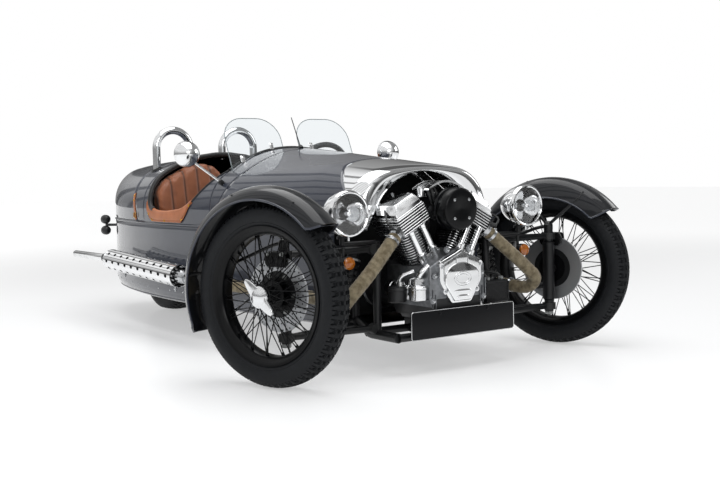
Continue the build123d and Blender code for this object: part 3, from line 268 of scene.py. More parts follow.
# %% Make a piece
def piece(name, shapes, body=RIDE, replaces=(), smooth=35.0, closed=True, wall=None,
        inner=None):
    """Builds one object from [(shape, finish), ...] and lets it ride on a body."""
    finishes = []
    points, faces, numbers, start = [], [], [], 0
    for shape, finish in shapes:
        if finish not in finishes:
            finishes.append(finish)
        points.append(shape[0])
        faces.extend([[corner + start for corner in face] for face in shape[1]])
        numbers.extend([finishes.index(finish)] * len(shape[1]))
        start += len(shape[0])
    mesh = bpy.data.meshes.new(name)
    moved_points = np.vstack(points) + (0.0, AXLE_Y, 0.0)
    mesh.from_pydata(moved_points.tolist(), [], faces)
    for finish in finishes:
        mesh.materials.append(finish)
    mesh.polygons.foreach_set("material_index", np.array(numbers, np.int32))
    work = bmesh.new()
    work.from_mesh(mesh)
    bmesh.ops.remove_doubles(work, verts=work.verts, dist=2e-6)
    bmesh.ops.dissolve_degenerate(work, dist=1e-7, edges=work.edges)
    if closed:
        bmesh.ops.recalc_face_normals(work, faces=work.faces)
    work.to_mesh(mesh)
    work.free()
    mesh.shade_smooth()
    mesh.set_sharp_from_angle(angle=math.radians(smooth))
    made = bpy.data.objects.new(name, mesh)
    studio.collection.objects.link(made)
    if wall:
        solidify = made.modifiers.new("wall", "SOLIDIFY")
        solidify.thickness = wall
        solidify.offset = -1.0
        if inner:
            mesh.materials.append(inner)
            solidify.material_offset = len(finishes)
            solidify.material_offset_rim = 0
    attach(made, body)
    if replaces:
        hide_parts(*replaces)
    print(name, len(mesh.polygons), "faces")


def placed(place, *dressed):
    """The same (shape, finish) pairs after one matrix, ready for a piece."""
    return [(moved(shape, place), finish) for shape, finish in dressed]


# %% [markdown]
# ## Finishes
#
# Each finish starts from what the real surface is and how it was made. Colours are written as sRGB
# hex values and turned to linear light by one function. Patterns read Object coordinates in metres,
# so a grain of 1.2 mm has a noise scale of 1000 / 1.2. Numbers that are the same all over a surface
# sit on the shader's own sockets.

# %% Nodes and colours
def linear(hexadecimal):
    """sRGB hex to linear: c / 12.92 below 0.04045, else ((c + 0.055) / 1.055) to the 2.4."""
    parts = [int(hexadecimal[i:i + 2], 16) / 255 for i in (1, 3, 5)]
    return tuple(
        c / 12.92 if c <= 0.04045 else ((c + 0.055) / 1.055) ** 2.4 for c in parts) + (1.0,)


def add(tree, kind, inputs=None, **settings):
    """Adds a node: settings are its properties, inputs its values or what feeds it.

    A node among the inputs stands for its first output."""
    made = tree.nodes.new("ShaderNode" + kind)
    for name, value in settings.items():
        setattr(made, name, value)
    for name, value in (inputs or {}).items():
        value = value.outputs[0] if isinstance(value, bpy.types.Node) else value
        if isinstance(value, bpy.types.NodeSocket):
            tree.links.new(value, made.inputs[name])
        else:
            made.inputs[name].default_value = value
    return made


def finish(name, colour, **sockets):
    """A new Principled material with a base colour and any of the shader's own sockets."""
    made = bpy.data.materials.new(name)
    made.use_nodes = True
    shader = made.node_tree.nodes["Principled BSDF"]
    shader.inputs["Base Color"].default_value = linear(colour)
    for socket, value in sockets.items():
        shader.inputs[socket.replace("_", " ")].default_value = value
    return made


def feed(made, node, socket):
    """Links a node's first output to one of the shader's own sockets."""
    made.node_tree.links.new(
        node.outputs[0], made.node_tree.nodes["Principled BSDF"].inputs[socket])
    return made


def place_on(tree):
    """Object coordinates, in metres, for a pattern."""
    return add(tree, "TexCoord").outputs["Object"]


def grain(made, size_mm, depth_mm, strength=0.5, cells=False):
    """Raised grain: noise, or the edges of cells, of a real size, fed to the normal as a bump."""
    tree = made.node_tree
    if cells:
        height = add(tree, "TexVoronoi", {"Vector": place_on(tree), "Scale": 1000.0 / size_mm},
            feature="DISTANCE_TO_EDGE")
    else:
        height = add(
            tree, "TexNoise", {"Vector": place_on(tree), "Detail": 3.0, "Scale": 1000.0 / size_mm})
    return feed(made, add(tree, "Bump", {"Height": height, "Strength": strength,
        "Distance": depth_mm / 1000.0}), "Normal")


def mottle(made, size_mm, colours):
    """Colour that drifts over the surface: noise of a real size through a ramp of two colours."""
    tree = made.node_tree
    cloud = add(
        tree, "TexNoise", {"Vector": place_on(tree), "Scale": 1000.0 / size_mm, "Detail": 4.0})
    ramp = add(tree, "ValToRGB", {"Fac": cloud})
    for stop, place, colour in zip(ramp.color_ramp.elements, (0.35, 0.65), colours):
        stop.position = place
        stop.color = linear(colour)
    return feed(made, ramp, "Base Color")


def smudge(made, size_mm, low, high):
    """Polish that varies: roughness between low and high, by noise of a real size."""
    tree = made.node_tree
    cloud = add(
        tree, "TexNoise", {"Vector": place_on(tree), "Scale": 1000.0 / size_mm, "Detail": 3.0})
    span = add(tree, "MapRange", {"Value": cloud, "From Min": 0.3, "From Max": 0.7, "To Min": low,
        "To Max": high})
    return feed(made, span, "Roughness")


# %% [markdown]
# The bodywork is sprayed two-pack enamel: a solid slate grey under a clear, polished lacquer. The
# lacquer is the shader's coat, and a faint drift of colour stands for the sprayed base. The
# mudguards are sprayed the same way, nearly black.

# %% Enamel
enamel = finish("sprayed slate enamel", "#353944", Roughness=0.4, Coat_Weight=1.0,
    Coat_Roughness=0.02, Coat_IOR=1.42, Specular_IOR_Level=0.12)
mottle(enamel, 140, ("#323641", "#383c47"))
guard_enamel = finish("sprayed dark enamel", "#15171b", Roughness=0.4, Coat_Weight=1.0,
    Coat_Roughness=0.02, Coat_IOR=1.34, Specular_IOR_Level=0.12)
mottle(guard_enamel, 120, ("#131519", "#181a1e"))
underseal = grain(finish("sprayed underseal", "#131415", Roughness=0.75), 2.5, 0.4)
powder = grain(finish(
    "black powder coat", "#121315", Roughness=0.38, Specular_IOR_Level=0.35), 1.4, 0.06, 0.25)
mottle(powder, 60, ("#101113", "#161719"))
stove_black = grain(finish("gloss stove enamel", "#08090b", Roughness=0.3, Coat_Weight=0.06,
    Coat_Roughness=0.08, Specular_IOR_Level=0.15), 3.0, 0.05, 0.15)

# %% [markdown]
# Chrome plate keeps its own mirror, with only a breath of haze where hands have polished it.
# Polished aluminium is softer and greyer. Cast aluminium has the sand's grain, about 0.9 mm.
# Stainless fasteners are brushed by their making, and brake discs are turned steel.

# %% Metals
chrome = smudge(finish("chrome plate", "#e6e7e8", Metallic=1.0, Roughness=0.05), 60, 0.03, 0.08)
polished = smudge(finish(
    "polished aluminium", "#dcddde", Metallic=1.0, Roughness=0.12), 30, 0.10, 0.2)
cast = grain(
    finish("sand-cast aluminium", "#929497", Metallic=0.9, Roughness=0.45), 0.9, 0.12, 0.5)
mottle(cast, 25, ("#76787b", "#909295"))
barrel_black = grain(finish("heat-proof black", "#1b1c1e", Roughness=0.45), 1.0, 0.1, 0.4)
stainless = smudge(finish(
    "stainless steel", "#b4b6b8", Metallic=1.0, Roughness=0.25), 8, 0.18, 0.34)
fin_edge = smudge(finish(
    "machined fin edge", "#d3d4d5", Metallic=1.0, Roughness=0.3), 5, 0.18, 0.3)
disc_steel = grain(finish(
    "turned disc steel", "#b4b6b9", Metallic=0.9, Roughness=0.35), 1.2, 0.03, 0.25)
brass = smudge(finish("lacquered brass", "#b98a3c", Metallic=1.0, Roughness=0.22), 12, 0.16, 0.3)
zinc = grain(finish("zinc plate", "#9a9c9b", Metallic=0.9, Roughness=0.38), 2.0, 0.05, 0.3)

# %% [markdown]
# Leather is a dyed hide with a pressed pebble grain of about 1.6 mm, and its colour drifts from
# panel to panel. The seat leather is walnut brown; the elbow patches and straps are a saddle tan.
# The cockpit's edge is padded and covered in black hide.

# %% Leather, cloth and rubber
def hide(name, light, dark, roughness):
    """Dyed leather: cloudy colour, pebbled cells and a little sheen."""
    made = finish(
        name, light, Roughness=roughness, IOR=1.45, Sheen_Weight=0.15, Specular_IOR_Level=0.45)
    mottle(made, 55, (dark, light))
    return grain(made, 1.6, 0.12, 0.45, cells=True)


seat_hide = hide("walnut seat leather", "#94593a", "#824c30", 0.42)
tan_hide = hide("saddle tan leather", "#bd7040", "#aa602f", 0.4)
black_hide = hide("black padded leather", "#1d1d1e", "#161617", 0.45)
seam_thread = grain(finish("waxed thread", "#5d3722", Roughness=0.7), 0.6, 0.1)
rubber = grain(finish(
    "tyre rubber", "#121417", Roughness=0.58, Specular_IOR_Level=0.25), 1.2, 0.08, 0.4)
mottle(rubber, 18, ("#101215", "#15171a"))
soft_rubber = grain(finish("moulded rubber", "#18191a", Roughness=0.55), 1.0, 0.05, 0.3)
plastic = grain(finish("moulded black plastic", "#1a1b1c", Roughness=0.4), 0.8, 0.04, 0.3)
carpet = grain(finish("loop carpet", "#17181a", Roughness=0.95, Sheen_Weight=0.3), 3.5, 1.0, 0.8)

# %% [markdown]
# The exhaust pipes wear a woven glass-fibre tape, wound in overlapping turns. The tape's turns are
# real ridges in the mesh; its weave of about 2 mm is a crossed pair of waves in the bump.

# %% Heat wrap
wrap = finish("woven heat wrap", "#857a62", Roughness=0.9, Sheen_Weight=0.2)
mottle(wrap, 22, ("#6c6049", "#978b71"))
wrap_tree = wrap.node_tree
waves = [add(wrap_tree, "TexWave", {"Vector": place_on(wrap_tree), "Scale": 260.0,
    "Distortion": 1.0}, wave_type="BANDS", bands_direction=axis).outputs["Fac"] for axis in "XY"]
weave = add(wrap_tree, "Math", {0: waves[0], 1: waves[1]}, operation="MAXIMUM")
feed(wrap, add(wrap_tree, "Bump", {"Height": weave, "Strength": 0.5, "Distance": 0.0004}),
     "Normal")

# %% [markdown]
# Clear parts: the wind deflectors are cast acrylic, the lamps have pressed glass, and the small
# lamps are tinted acrylic. Mirror glass is silvered at its back, so it is a metal to the eye.

# %% Clear and tinted parts
acrylic = finish("clear acrylic", "#f4f8fa", Roughness=0.01, IOR=1.49, Transmission_Weight=1.0)
lamp_glass = finish(
    "pressed lamp glass", "#ffffff", Roughness=0.02, IOR=1.5, Transmission_Weight=1.0)
amber = finish("amber acrylic", "#e07a12", Roughness=0.12, IOR=1.49, Transmission_Weight=0.35,
    Coat_Weight=0.5)
mottle(amber, 9, ("#d06c0c", "#ec8a1e"))
red_lens = finish(
    "red acrylic", "#8e1013", Roughness=0.12, IOR=1.49, Transmission_Weight=0.2, Coat_Weight=0.5)
mottle(red_lens, 9, ("#7c0c0f", "#9c1518"))
mirror_glass = smudge(
    finish("silvered glass", "#e4e7e8", Metallic=1.0, Roughness=0.02), 80, 0.01, 0.03)
dial_face = mottle(finish("cream dial card", "#e2dcc8", Roughness=0.5), 20, ("#dcd5bf", "#e8e3d2"))
plate_black = grain(finish(
    "black number plate", "#0c0d10", Roughness=0.4, Specular_IOR_Level=0.2), 2.0, 0.03, 0.2)
filament = finish("lamp bulb", "#f6f8fa", Roughness=0.1, Transmission_Weight=0.8)
print(len(bpy.data.materials), "finishes")

# %% [markdown]
# ## Camera, floor and light
#
# The camera stands at the front right of the car at the height of a seated person, with a 53 mm
# lens. The floor is pale and plain, and a glow that only the camera and gloss see takes it to
# white in the distance. Large soft lamps overhead and to the sides give gloss its long
# highlights. The sky is white to the camera and through glass. To gloss it is a hall: dark at the
# horizon, bright overhead and crossed by beams, so that chrome has something to show.

# %% Camera
EYE = Vector((-2.678, -3.374 + AXLE_Y, 0.774))
HEADING, CLIMB, LEVEL = math.radians(34.79), math.radians(-3.62), math.radians(-1.24)
ahead = Vector(
    (math.sin(HEADING) * math.cos(CLIMB), math.cos(HEADING) * math.cos(CLIMB), math.sin(CLIMB)))
right = Vector((math.cos(HEADING), -math.sin(HEADING), 0.0))
above = right.cross(ahead)
tilted_right = right * math.cos(LEVEL) + above * math.sin(LEVEL)
tilted_above = above * math.cos(LEVEL) - right * math.sin(LEVEL)
lens = bpy.data.cameras.new("camera")
lens.sensor_width = 36.0
PICTURE_WIDTH, FOCAL_LENGTH = 720, 1067.6       # both in pixels
lens.lens = FOCAL_LENGTH / PICTURE_WIDTH * lens.sensor_width
camera = bpy.data.objects.new("camera", lens)
axes = Matrix((tilted_right, tilted_above, -ahead)).transposed().to_4x4()
camera.matrix_world = Matrix.Translation(EYE) @ axes
studio.collection.objects.link(camera)
studio.camera = camera
print("lens", round(lens.lens, 2), "mm")

# %% Floor, sky and lamps
floor_paint = finish("pale floor", "#e9eaeb", Roughness=0.25, Specular_IOR_Level=0.4)
floor_tree = floor_paint.node_tree
seen = add(floor_tree, "LightPath")
looked_at = add(floor_tree, "Math", {0: seen.outputs["Is Camera Ray"],
    1: seen.outputs["Is Glossy Ray"]}, operation="MAXIMUM")
away = add(floor_tree, "VectorMath", {0: place_on(floor_tree)}, operation="LENGTH")
lift = add(floor_tree, "MapRange", {"Value": away.outputs["Value"], "From Min": 2.5,
    "From Max": 9.0, "To Min": 0.40, "To Max": 0.70}, interpolation_type="SMOOTHSTEP")
glow = add(floor_tree, "Emission", {"Color": (1, 1, 1, 1), "Strength": lift})
both = add(floor_tree, "AddShader", {0: floor_tree.nodes["Principled BSDF"], 1: glow})
choice = add(
    floor_tree, "MixShader", {0: looked_at, 1: floor_tree.nodes["Principled BSDF"], 2: both})
floor_tree.links.new(
    choice.outputs["Shader"], floor_tree.nodes["Material Output"].inputs["Surface"])
floor_mesh = bpy.data.meshes.new("floor")
floor_mesh.from_pydata(
    [(-30, -30, 0), (30, -30, 0), (30, 30, 0), (-30, 30, 0)], [], [(0, 1, 2, 3)])
floor_mesh.materials.append(floor_paint)
floor = bpy.data.objects.new("floor", floor_mesh)
studio.collection.objects.link(floor)

sky = bpy.data.worlds.new("studio")
studio.world = sky
sky.use_nodes = True
sky_tree = sky.node_tree
ray = add(sky_tree, "LightPath")
plain_ray = add(sky_tree, "Math", {0: ray.outputs["Is Camera Ray"],
    1: ray.outputs["Is Transmission Ray"]}, operation="MAXIMUM")
to_eye = add(sky_tree, "MapRange", {"Value": plain_ray, "To Min": 0.34, "To Max": 1.0})
way = add(sky_tree, "TexCoord").outputs["Generated"]
way_up = add(sky_tree, "SeparateXYZ", {0: way})
height = add(sky_tree, "MapRange", {"Value": way_up.outputs["Z"], "From Min": 0.02,
    "From Max": 0.42, "To Min": 0.40, "To Max": 1.10}, interpolation_type="SMOOTHSTEP")
roof_beams = add(sky_tree, "TexWave", {"Vector": way, "Scale": 2.2, "Distortion": 1.5,
    "Detail": 1.0}, wave_type="BANDS", bands_direction="DIAGONAL")
beam_edge = add(sky_tree, "MapRange", {"Value": roof_beams.outputs["Fac"], "From Min": 0.10,
    "From Max": 0.22, "To Min": 0.30, "To Max": 1.0})
hall_side = add(sky_tree, "MapRange", {"Value": way_up.outputs["X"], "From Min": 0.0,
    "From Max": 0.55, "To Min": 1.0, "To Max": 0.35}, interpolation_type="SMOOTHSTEP")
from_side = add(sky_tree, "Math", {0: hall_side, 1: beam_edge}, operation="MULTIPLY")
hall = add(sky_tree, "Math", {0: height, 1: from_side}, operation="MULTIPLY")
mirrored = add(sky_tree, "Math", {0: ray.outputs["Is Glossy Ray"],
    1: ray.outputs["Is Transmission Ray"]}, operation="SUBTRACT", use_clamp=True)
total = add(sky_tree, "Mix", {0: mirrored, 2: to_eye, 3: hall})
sky_tree.nodes["Background"].inputs["Color"].default_value = (1, 1, 1, 1)
sky_tree.links.new(total.outputs[0], sky_tree.nodes["Background"].inputs["Strength"])

# name, place, aim, width, height, power in watts
LAMPS = (
    ("overhead", (0.0, -0.5, 4.2), (0, 0, 0), 3.0, 5.0, 120.0),
    ("window_right", (-5.5, 0.5, 2.4), (0, 0, 0.5), 3.0, 2.2, 80.0),
    ("front", (-1.5, -6.0, 2.6), (0, -1.0, 0.5), 2.6, 1.8, 45.0),
    ("left_fill", (5.0, -1.5, 2.6), (0, 0, 0.5), 3.0, 2.0, 45.0),
)
for name, place, aim, width, height, power in LAMPS:
    lamp = bpy.data.lights.new(name, "AREA")
    lamp.shape, lamp.size, lamp.size_y, lamp.energy = "RECTANGLE", width, height, power
    holder = bpy.data.objects.new(name, lamp)
    holder.location = place
    holder.rotation_euler = (Vector(aim) - Vector(place)).to_track_quat("-Z", "Y").to_euler()
    holder.visible_glossy = name != "window_right"
    studio.collection.objects.link(holder)
studio.view_settings.view_transform = "Standard"
print(len(LAMPS), "soft lamps")

# %% [markdown]
# ## The body
#
# The body is a barrel: straight sides, round shoulders and a flatter crown, narrow at the nose and
# closing in an ellipse at the tail. One pair of formulas gives its outline at any station, and
# every panel is a patch of that one surface, so the panels meet in one reflection. In a workshop
# they would be beaten over one wooden buck for the same reason.

# %% The body's outline
ROOF_Y = (0.0, 0.25, 0.96, 1.10, 1.76, 2.00, 2.30, 2.56, 2.71, 2.80, 2.835, 2.849)
ROOF_Z = (0.800, 0.826, 0.899, 0.905, 0.893, 0.872, 0.862, 0.843, 0.810, 0.775, 0.741, 0.711)
LOW_Z = (0.620, 0.620, 0.620, 0.620, 0.620, 0.620, 0.622, 0.636, 0.662, 0.680, 0.687, 0.690)


def through(y, stations, values):
    """A cubic curve through a table: each span blends its end values and its end slopes."""
    x, v = np.array(stations), np.array(values)
    y = np.clip(y, x[0], x[-1])
    i = np.clip(np.searchsorted(x, y) - 1, 0, len(x) - 2)
    span = np.diff(x)
    step = np.diff(v) / span
    slope = np.concatenate([step[:1], (step[:-1] + step[1:]) / 2, step[-1:]])
    u = (y - x[i]) / span[i]
    return ((2 * u ** 3 - 3 * u ** 2 + 1) * v[i] + (u ** 3 - 2 * u ** 2 + u) * span[i] * slope[i]
            + (3 * u ** 2 - 2 * u ** 3) * v[i + 1] + (u ** 3 - u ** 2) * span[i] * slope[i + 1])


def half_width(y):
    """Power curve to the nose, 1.6; quarter of an ellipse to the tail."""
    y = np.asarray(y, float)
    ahead = np.clip((WIDEST - y) / WIDEST, 0, 2) ** 1.6
    behind = np.clip((y - WIDEST) / TAIL, 0, 1)
    return np.where(y < WIDEST, HALF_WIDTH - (HALF_WIDTH - NOSE_HALF_WIDTH) * ahead,
        HALF_WIDTH * np.sqrt(np.clip(1 - behind ** 2, 0, 1)))


def outline(y, narrow=0.0, lower=0.0):
    """Upper section at y: half width, shoulder height, rise, corner, flat, crown radius, angle."""
    full = np.maximum(half_width(y) - narrow, 0.004)
    shoulder = through(y, ROOF_Y, LOW_Z)
    rise = through(y, ROOF_Y, ROOF_Z) - lower - shoulder
    corner = np.minimum(np.minimum(SHOULDER, 0.93 * rise), 0.75 * full)
    flat = full - corner
    crown = (flat ** 2 + rise ** 2 - corner ** 2) / (2 * (rise - corner))
    return full, shoulder, rise, corner, flat, crown, np.arctan2(crown - rise, flat)


def upper(y, t, **shape):
    """Point (x, z) of the upper body: t 0..1 climbs the side, 1..2 the corner, 2..3 the crown.

    A negative t is the right side. The corner turns about (flat, shoulder), the crown about a
    point on the centre line below it, and they share a tangent at the angle between."""
    y, t = np.broadcast_arrays(np.asarray(y, float), np.asarray(t, float))
    full, shoulder, rise, corner, flat, crown, bend = outline(y, **shape)
    s = np.abs(t)
    side_z = BELT + (shoulder - BELT) * np.clip(s, 0, 1)
    turn_a = bend * np.clip(s - 1, 0, 1)
    turn_b = bend + (np.pi / 2 - bend) * np.clip(s - 2, 0, 1)
    x = np.select([s <= 1, s <= 2], [full, flat + corner * np.cos(turn_a)], crown * np.cos(turn_b))
    z = np.select([s <= 1, s <= 2], [side_z, shoulder + corner * np.sin(turn_a)],
        shoulder + rise - crown + crown * np.sin(turn_b))
    return np.where(t < 0, -x, x), z


def height_to_t(y, z):
    """The t at which the upper body reaches height z: the formulas of upper() turned round."""
    full, shoulder, rise, corner, flat, crown, bend = outline(y)
    low = (z - BELT) / (shoulder - BELT)
    knee = 1 + np.arcsin(np.clip((z - shoulder) / corner, 0, 1)) / bend
    top_angle = np.arcsin(np.clip((z - shoulder - rise + crown) / crown, -1, 1))
    return np.where(z <= shoulder, low, np.where(
        knee <= 2, knee, 2 + (top_angle - bend) / (np.pi / 2 - bend)))


def skin(y, t, **shape):
    """The (rows, columns, 3) grid of upper body points for stations y and section places t."""
    x, z = upper(y, t, **shape)
    return np.stack([x, np.broadcast_to(y, x.shape), z], -1)


def whole_arc(count=34):
    """Section places from the right belt over the crown to the left belt, in even steps."""
    side = np.concatenate([np.linspace(0, 1, 5)[:-1], np.linspace(1, 2, count // 2)[:-1],
        np.linspace(2, 3, count // 2)])
    return np.concatenate([-side - 1e-9, side[::-1][1:]])


print("half widths", half_width(np.array([0.0, 0.5, 1.5, 2.5])).round(3))

# %% [markdown]
# The seams are planes and arcs cut through the barrel: the cowl ends at an arc seen from above,
# the bonnet and the lid at sloping lines seen from the side. A panel's edge is where its own line
# of the section meets the seam, found by stepping y to the seam a few times until it stays.

# %% Seams
def meet(t, seam, start):
    """Stations where the lines t reach a seam y = seam(x, z), by repeated substitution."""
    y = np.full(np.shape(t), float(start))
    for _ in range(12):
        x, z = upper(y, t)
        y = seam(x, z)
    return y


def cowl_seam(x, z):
    """Arc in plan about (0, -35 mm), radius 355 mm."""
    return -0.035 + np.sqrt(np.clip(0.355 ** 2 - x ** 2, 0, 1))


def bonnet_seam(x, z):
    """Upright over 0.8 m, then sloping back to the belt."""
    return np.interp(z, [0.537, 0.600, 0.800, 1.0], [1.040, 1.000, 0.890, 0.890])


def lid_seam(x, z):
    """A straight line that leans back: y is 1.862 at the belt and 2.005 at a height of 0.88."""
    return 1.862 + (z - BELT) * (2.005 - 1.862) / (0.880 - BELT)


arc = whole_arc()
u = np.linspace(0, 1, 40)[:, None]
front = meet(arc, cowl_seam, 0.2) + 0.0008
rear = meet(arc, bonnet_seam, 0.9) - SHUT
piece("bonnet_panel", [(sheet(skin(front + u * (rear - front), arc)), enamel)],
    replaces=["bonnet"], closed=False, wall=SHEET_METAL, inner=powder)

# %% [markdown]
# The scuttle and the rear deck run right over the car; between them the panel dips at each side,
# where the elbows go. Each side is a strip from the belt up to the dip's edge.

# %% Scuttle, sides and rear deck
DIP_Y = (1.040, 1.220, 1.300, 1.420, 1.540, 1.640, 1.695, 1.712, 1.765)
DIP_Z = (0.800, 0.652, 0.618, 0.602, 0.598, 0.612, 0.645, 0.700, 0.890)


def dip_edge(y):
    """Height of the cockpit's side edge: a cubic curve through its table."""
    return np.minimum(through(y, DIP_Y, DIP_Z), through(y, ROOF_Y, ROOF_Z) - 0.002)


u = np.linspace(0, 1, 12)[:, None]
start = meet(arc, bonnet_seam, 0.9)
scuttle = skin(start + u * (COCKPIT_FRONT - start), arc)
stop = meet(arc, lid_seam, 1.95) - SHUT
deck = skin(COCKPIT_REAR + u * (stop - COCKPIT_REAR), arc)
dip_y = np.concatenate(
    [np.linspace(COCKPIT_FRONT, 1.660, 60)[:-1], np.linspace(1.660, COCKPIT_REAR, 40)])
share = np.linspace(0, 1, 24)[None, :]
reach = height_to_t(dip_y, dip_edge(dip_y))[:, None] * share
right_side = skin(dip_y[:, None], -reach - 1e-9)
left_side = skin(dip_y[:, None], reach)[:, ::-1]
piece("cockpit_panel", [(sheet(scuttle), enamel), (sheet(deck), enamel),
    (sheet(right_side), enamel), (sheet(left_side), enamel)], replaces=["cockpit_surround"],
    closed=False, wall=SHEET_METAL, inner=powder)

# %% The boot lid
tail_angle = np.linspace(0, 1, 46)
lid_start = meet(arc, lid_seam, 1.95)
first = np.arcsin((lid_start - WIDEST) / TAIL)
around = first[None] + tail_angle[:, None] * (TAIL_CLOSED - first[None])
lid_skin = skin(WIDEST + TAIL * np.sin(around), arc)
lid_skin[..., 2] += 0.0003
lid_knuckle = moved(turned(mm((0, -22), (8, -22), (9, -20), (9, 20), (8, 22), (0, 22)), 20),
    at(0, LID_HINGE.y - AXLE_Y, LID_HINGE.z) @ turn(90, "Y"))
lid_ear = moved(plate(rounded(0.044, 0.018, 0.002), -0.006, 0.008, 0.001),
    at(0, LID_HINGE.y - AXLE_Y - 0.008, LID_HINGE.z))
piece("boot_lid_panel", [(sheet(lid_skin), enamel)], body="boot_lid", replaces=["boot_lid"],
    closed=False, wall=SHEET_METAL, inner=powder)
piece("boot_hinge", [(lid_knuckle, chrome), (lid_ear, chrome)], body="boot_lid")

# %% [markdown]
# Below the belt the sides are upright, a round corner turns them under, and the floor is flat with
# a slot for the rear wheel. The floor is three pieces so that the slot has clean straight edges.

# %% The lower body
def lower(y, t, centre=0.0):
    """Side from the belt for t 0..1, floor corner 1..2, floor to x = centre for 2..3."""
    y, t = np.broadcast_arrays(np.asarray(y, float), np.asarray(t, float))
    full = half_width(y)
    corner = np.minimum(FLOOR_CORNER, 0.6 * full)
    turn_a = np.clip(t - 1, 0, 1) * np.pi / 2
    inner = np.minimum(centre, full - corner)
    x = np.select([t <= 1, t <= 2], [full, full - corner + corner * np.cos(turn_a)],
        full - corner - (full - corner - inner) * np.clip(t - 2, 0, 1))
    z = np.select([t <= 1, t <= 2], [BELT - (BELT - FLOOR - corner) * np.clip(t, 0, 1),
        FLOOR + corner - corner * np.sin(turn_a)], FLOOR)
    return np.stack([x, y, z], -1)


SLOT = (REAR_AXLE_Y - 0.340, REAR_AXLE_Y + 0.326, 0.134)    # front, rear and half width
down = np.concatenate(
    [np.linspace(0, 1, 12)[:-1], np.linspace(1, 2, 12)[:-1], np.linspace(2, 3, 4)])
tail_y = WIDEST + TAIL * np.sin(np.linspace(math.asin((SLOT[1] - WIDEST) / TAIL), TAIL_CLOSED, 22))
bands = ((np.linspace(TUB_FRONT, SLOT[0], 70), 0.0), (np.linspace(SLOT[0], SLOT[1], 36), SLOT[2]),
    (tail_y, 0.0))
tub_shapes = []
for stations, centre in bands:
    left_band = lower(stations[:, None], down, centre)
    right_band = left_band * (-1, 1, 1)
    tub_shapes += [(sheet(left_band), enamel), (sheet(right_band[:, ::-1]), enamel)]
piece("lower_body_panel", tub_shapes, replaces=["body_tub"], closed=False, wall=SHEET_METAL,
    inner=powder)

# %% [markdown]
# A half-round moulding covers the joint between the upper and lower panels, a wired hem stiffens
# the bottom edge, and round-headed rivets hold the skirt to the frame.

# %% Belt moulding and rivets
belt_y = np.concatenate([np.linspace(0.152, 2.0, 50),
    WIDEST + TAIL * np.sin(np.linspace(math.asin(0.5 / TAIL), TAIL_CLOSED, 26))[1:]])
belt_right = np.stack([-half_width(belt_y), belt_y, np.full_like(belt_y, BELT - 0.004)], 1)
belt_line = np.vstack([belt_right, (belt_right * (-1, 1, 1))[::-1]])
rivet_y = np.arange(0.22, 2.70, 0.138)
slope = np.gradient(half_width(rivet_y), rivet_y)
rivets = []
for side in (-1, 1):
    for y, edge, lean in zip(rivet_y, half_width(rivet_y), slope):
        rivets.append(facing((side * edge, y, 0.218), (side, -side * lean * side, 0)))
hem_right = belt_right * (1, 1, 0) + (0.0172, 0, 0.1740)
hem_right[:, 0] = np.minimum(hem_right[:, 0], -0.010)
hems = [tube(hem_right * (flip, 1, 1), 0.0042, 8) for flip in (1, -1)]
piece("belt_moulding", [(joined(tube(belt_line, 0.0052, 10), *hems), enamel)])
piece("skirt_rivets", [(repeated(rivet, rivets), stainless)])

# %% [markdown]
# ## The cowl
#
# The nose is a spun and polished cap, chrome plated: its front rolls over into an open mouth, and
# its rear edge follows the arc seam. Rings go from inside the mouth, round the lip and back over
# the dome. Each ring mixes the mouth's arch with the body's outline.

# %% Cowl
MOUTH_TOP, MOUTH_KNEE, MOUTH_FOOT = 0.777, (0.224, 0.660), (0.290, 0.552)


def mouth(share, grow=0.0):
    """The mouth's arch: an arc of a circle over the top, then straight legs, by length."""
    kx, kz = MOUTH_KNEE
    radius = (kx ** 2 + (MOUTH_TOP - kz) ** 2) / (2 * (MOUTH_TOP - kz))
    reach = math.asin(kx / radius)
    s = np.abs(share)
    a = np.clip(s / 0.72, 0, 1) * reach
    leg = np.clip((s - 0.72) / 0.28, 0, 1)
    x = np.where(s <= 0.72, (radius + grow) * np.sin(a), kx + grow + (MOUTH_FOOT[0] - kx) * leg)
    z = np.where(s <= 0.72, MOUTH_TOP - radius + (radius + grow) * np.cos(a),
        kz + (MOUTH_FOOT[1] - kz) * leg)
    return np.where(share < 0, -x, x), z


cowl_t = whole_arc(44)
cowl_t = np.sign(cowl_t) * np.maximum(np.abs(cowl_t), 0.02)
cowl_share = np.sign(cowl_t) * np.maximum(1 - np.abs(cowl_t) / 3, 0) ** 0.8
rings = []
for y in (0.110, 0.060, 0.020):
    mx, mz = mouth(cowl_share, grow=-0.002)
    rings.append(np.stack([mx, np.full_like(mx, y), mz], 1))
for a in np.linspace(0, np.pi / 2, 9):
    y = 0.020 - 0.012 * math.sin(a)
    ox, oz = upper(np.full_like(cowl_t, 0.008), cowl_t, narrow=0.040, lower=0.018)
    mx, mz = mouth(cowl_share, grow=-0.002)
    mix = (1 - math.cos(a)) * 0.9
    rings.append(np.stack([mx + (ox - mx) * mix, np.full_like(mx, y), mz + (oz - mz) * mix], 1))
for a in np.linspace(0.15, 1, 10):
    roll = a * np.pi / 2
    y = 0.008 + 0.060 * (1 - math.cos(roll))
    ox, oz = upper(np.full_like(cowl_t, y), cowl_t, narrow=0.038 * (1 - math.sin(roll)),
        lower=0.016 * (1 - math.sin(roll)))
    rings.append(np.stack([ox, np.full_like(ox, y), oz], 1))
seam = meet(cowl_t, cowl_seam, 0.2)
for v in np.linspace(0, 1, 16)[1:]:
    y = 0.068 + (seam - 0.068) * v
    ox, oz = upper(y, cowl_t)
    rings.append(np.stack([ox, y, oz], 1))
cowl_grid = np.array(rings)
cowl_grid[..., 2] = np.maximum(cowl_grid[..., 2], 0.5475)
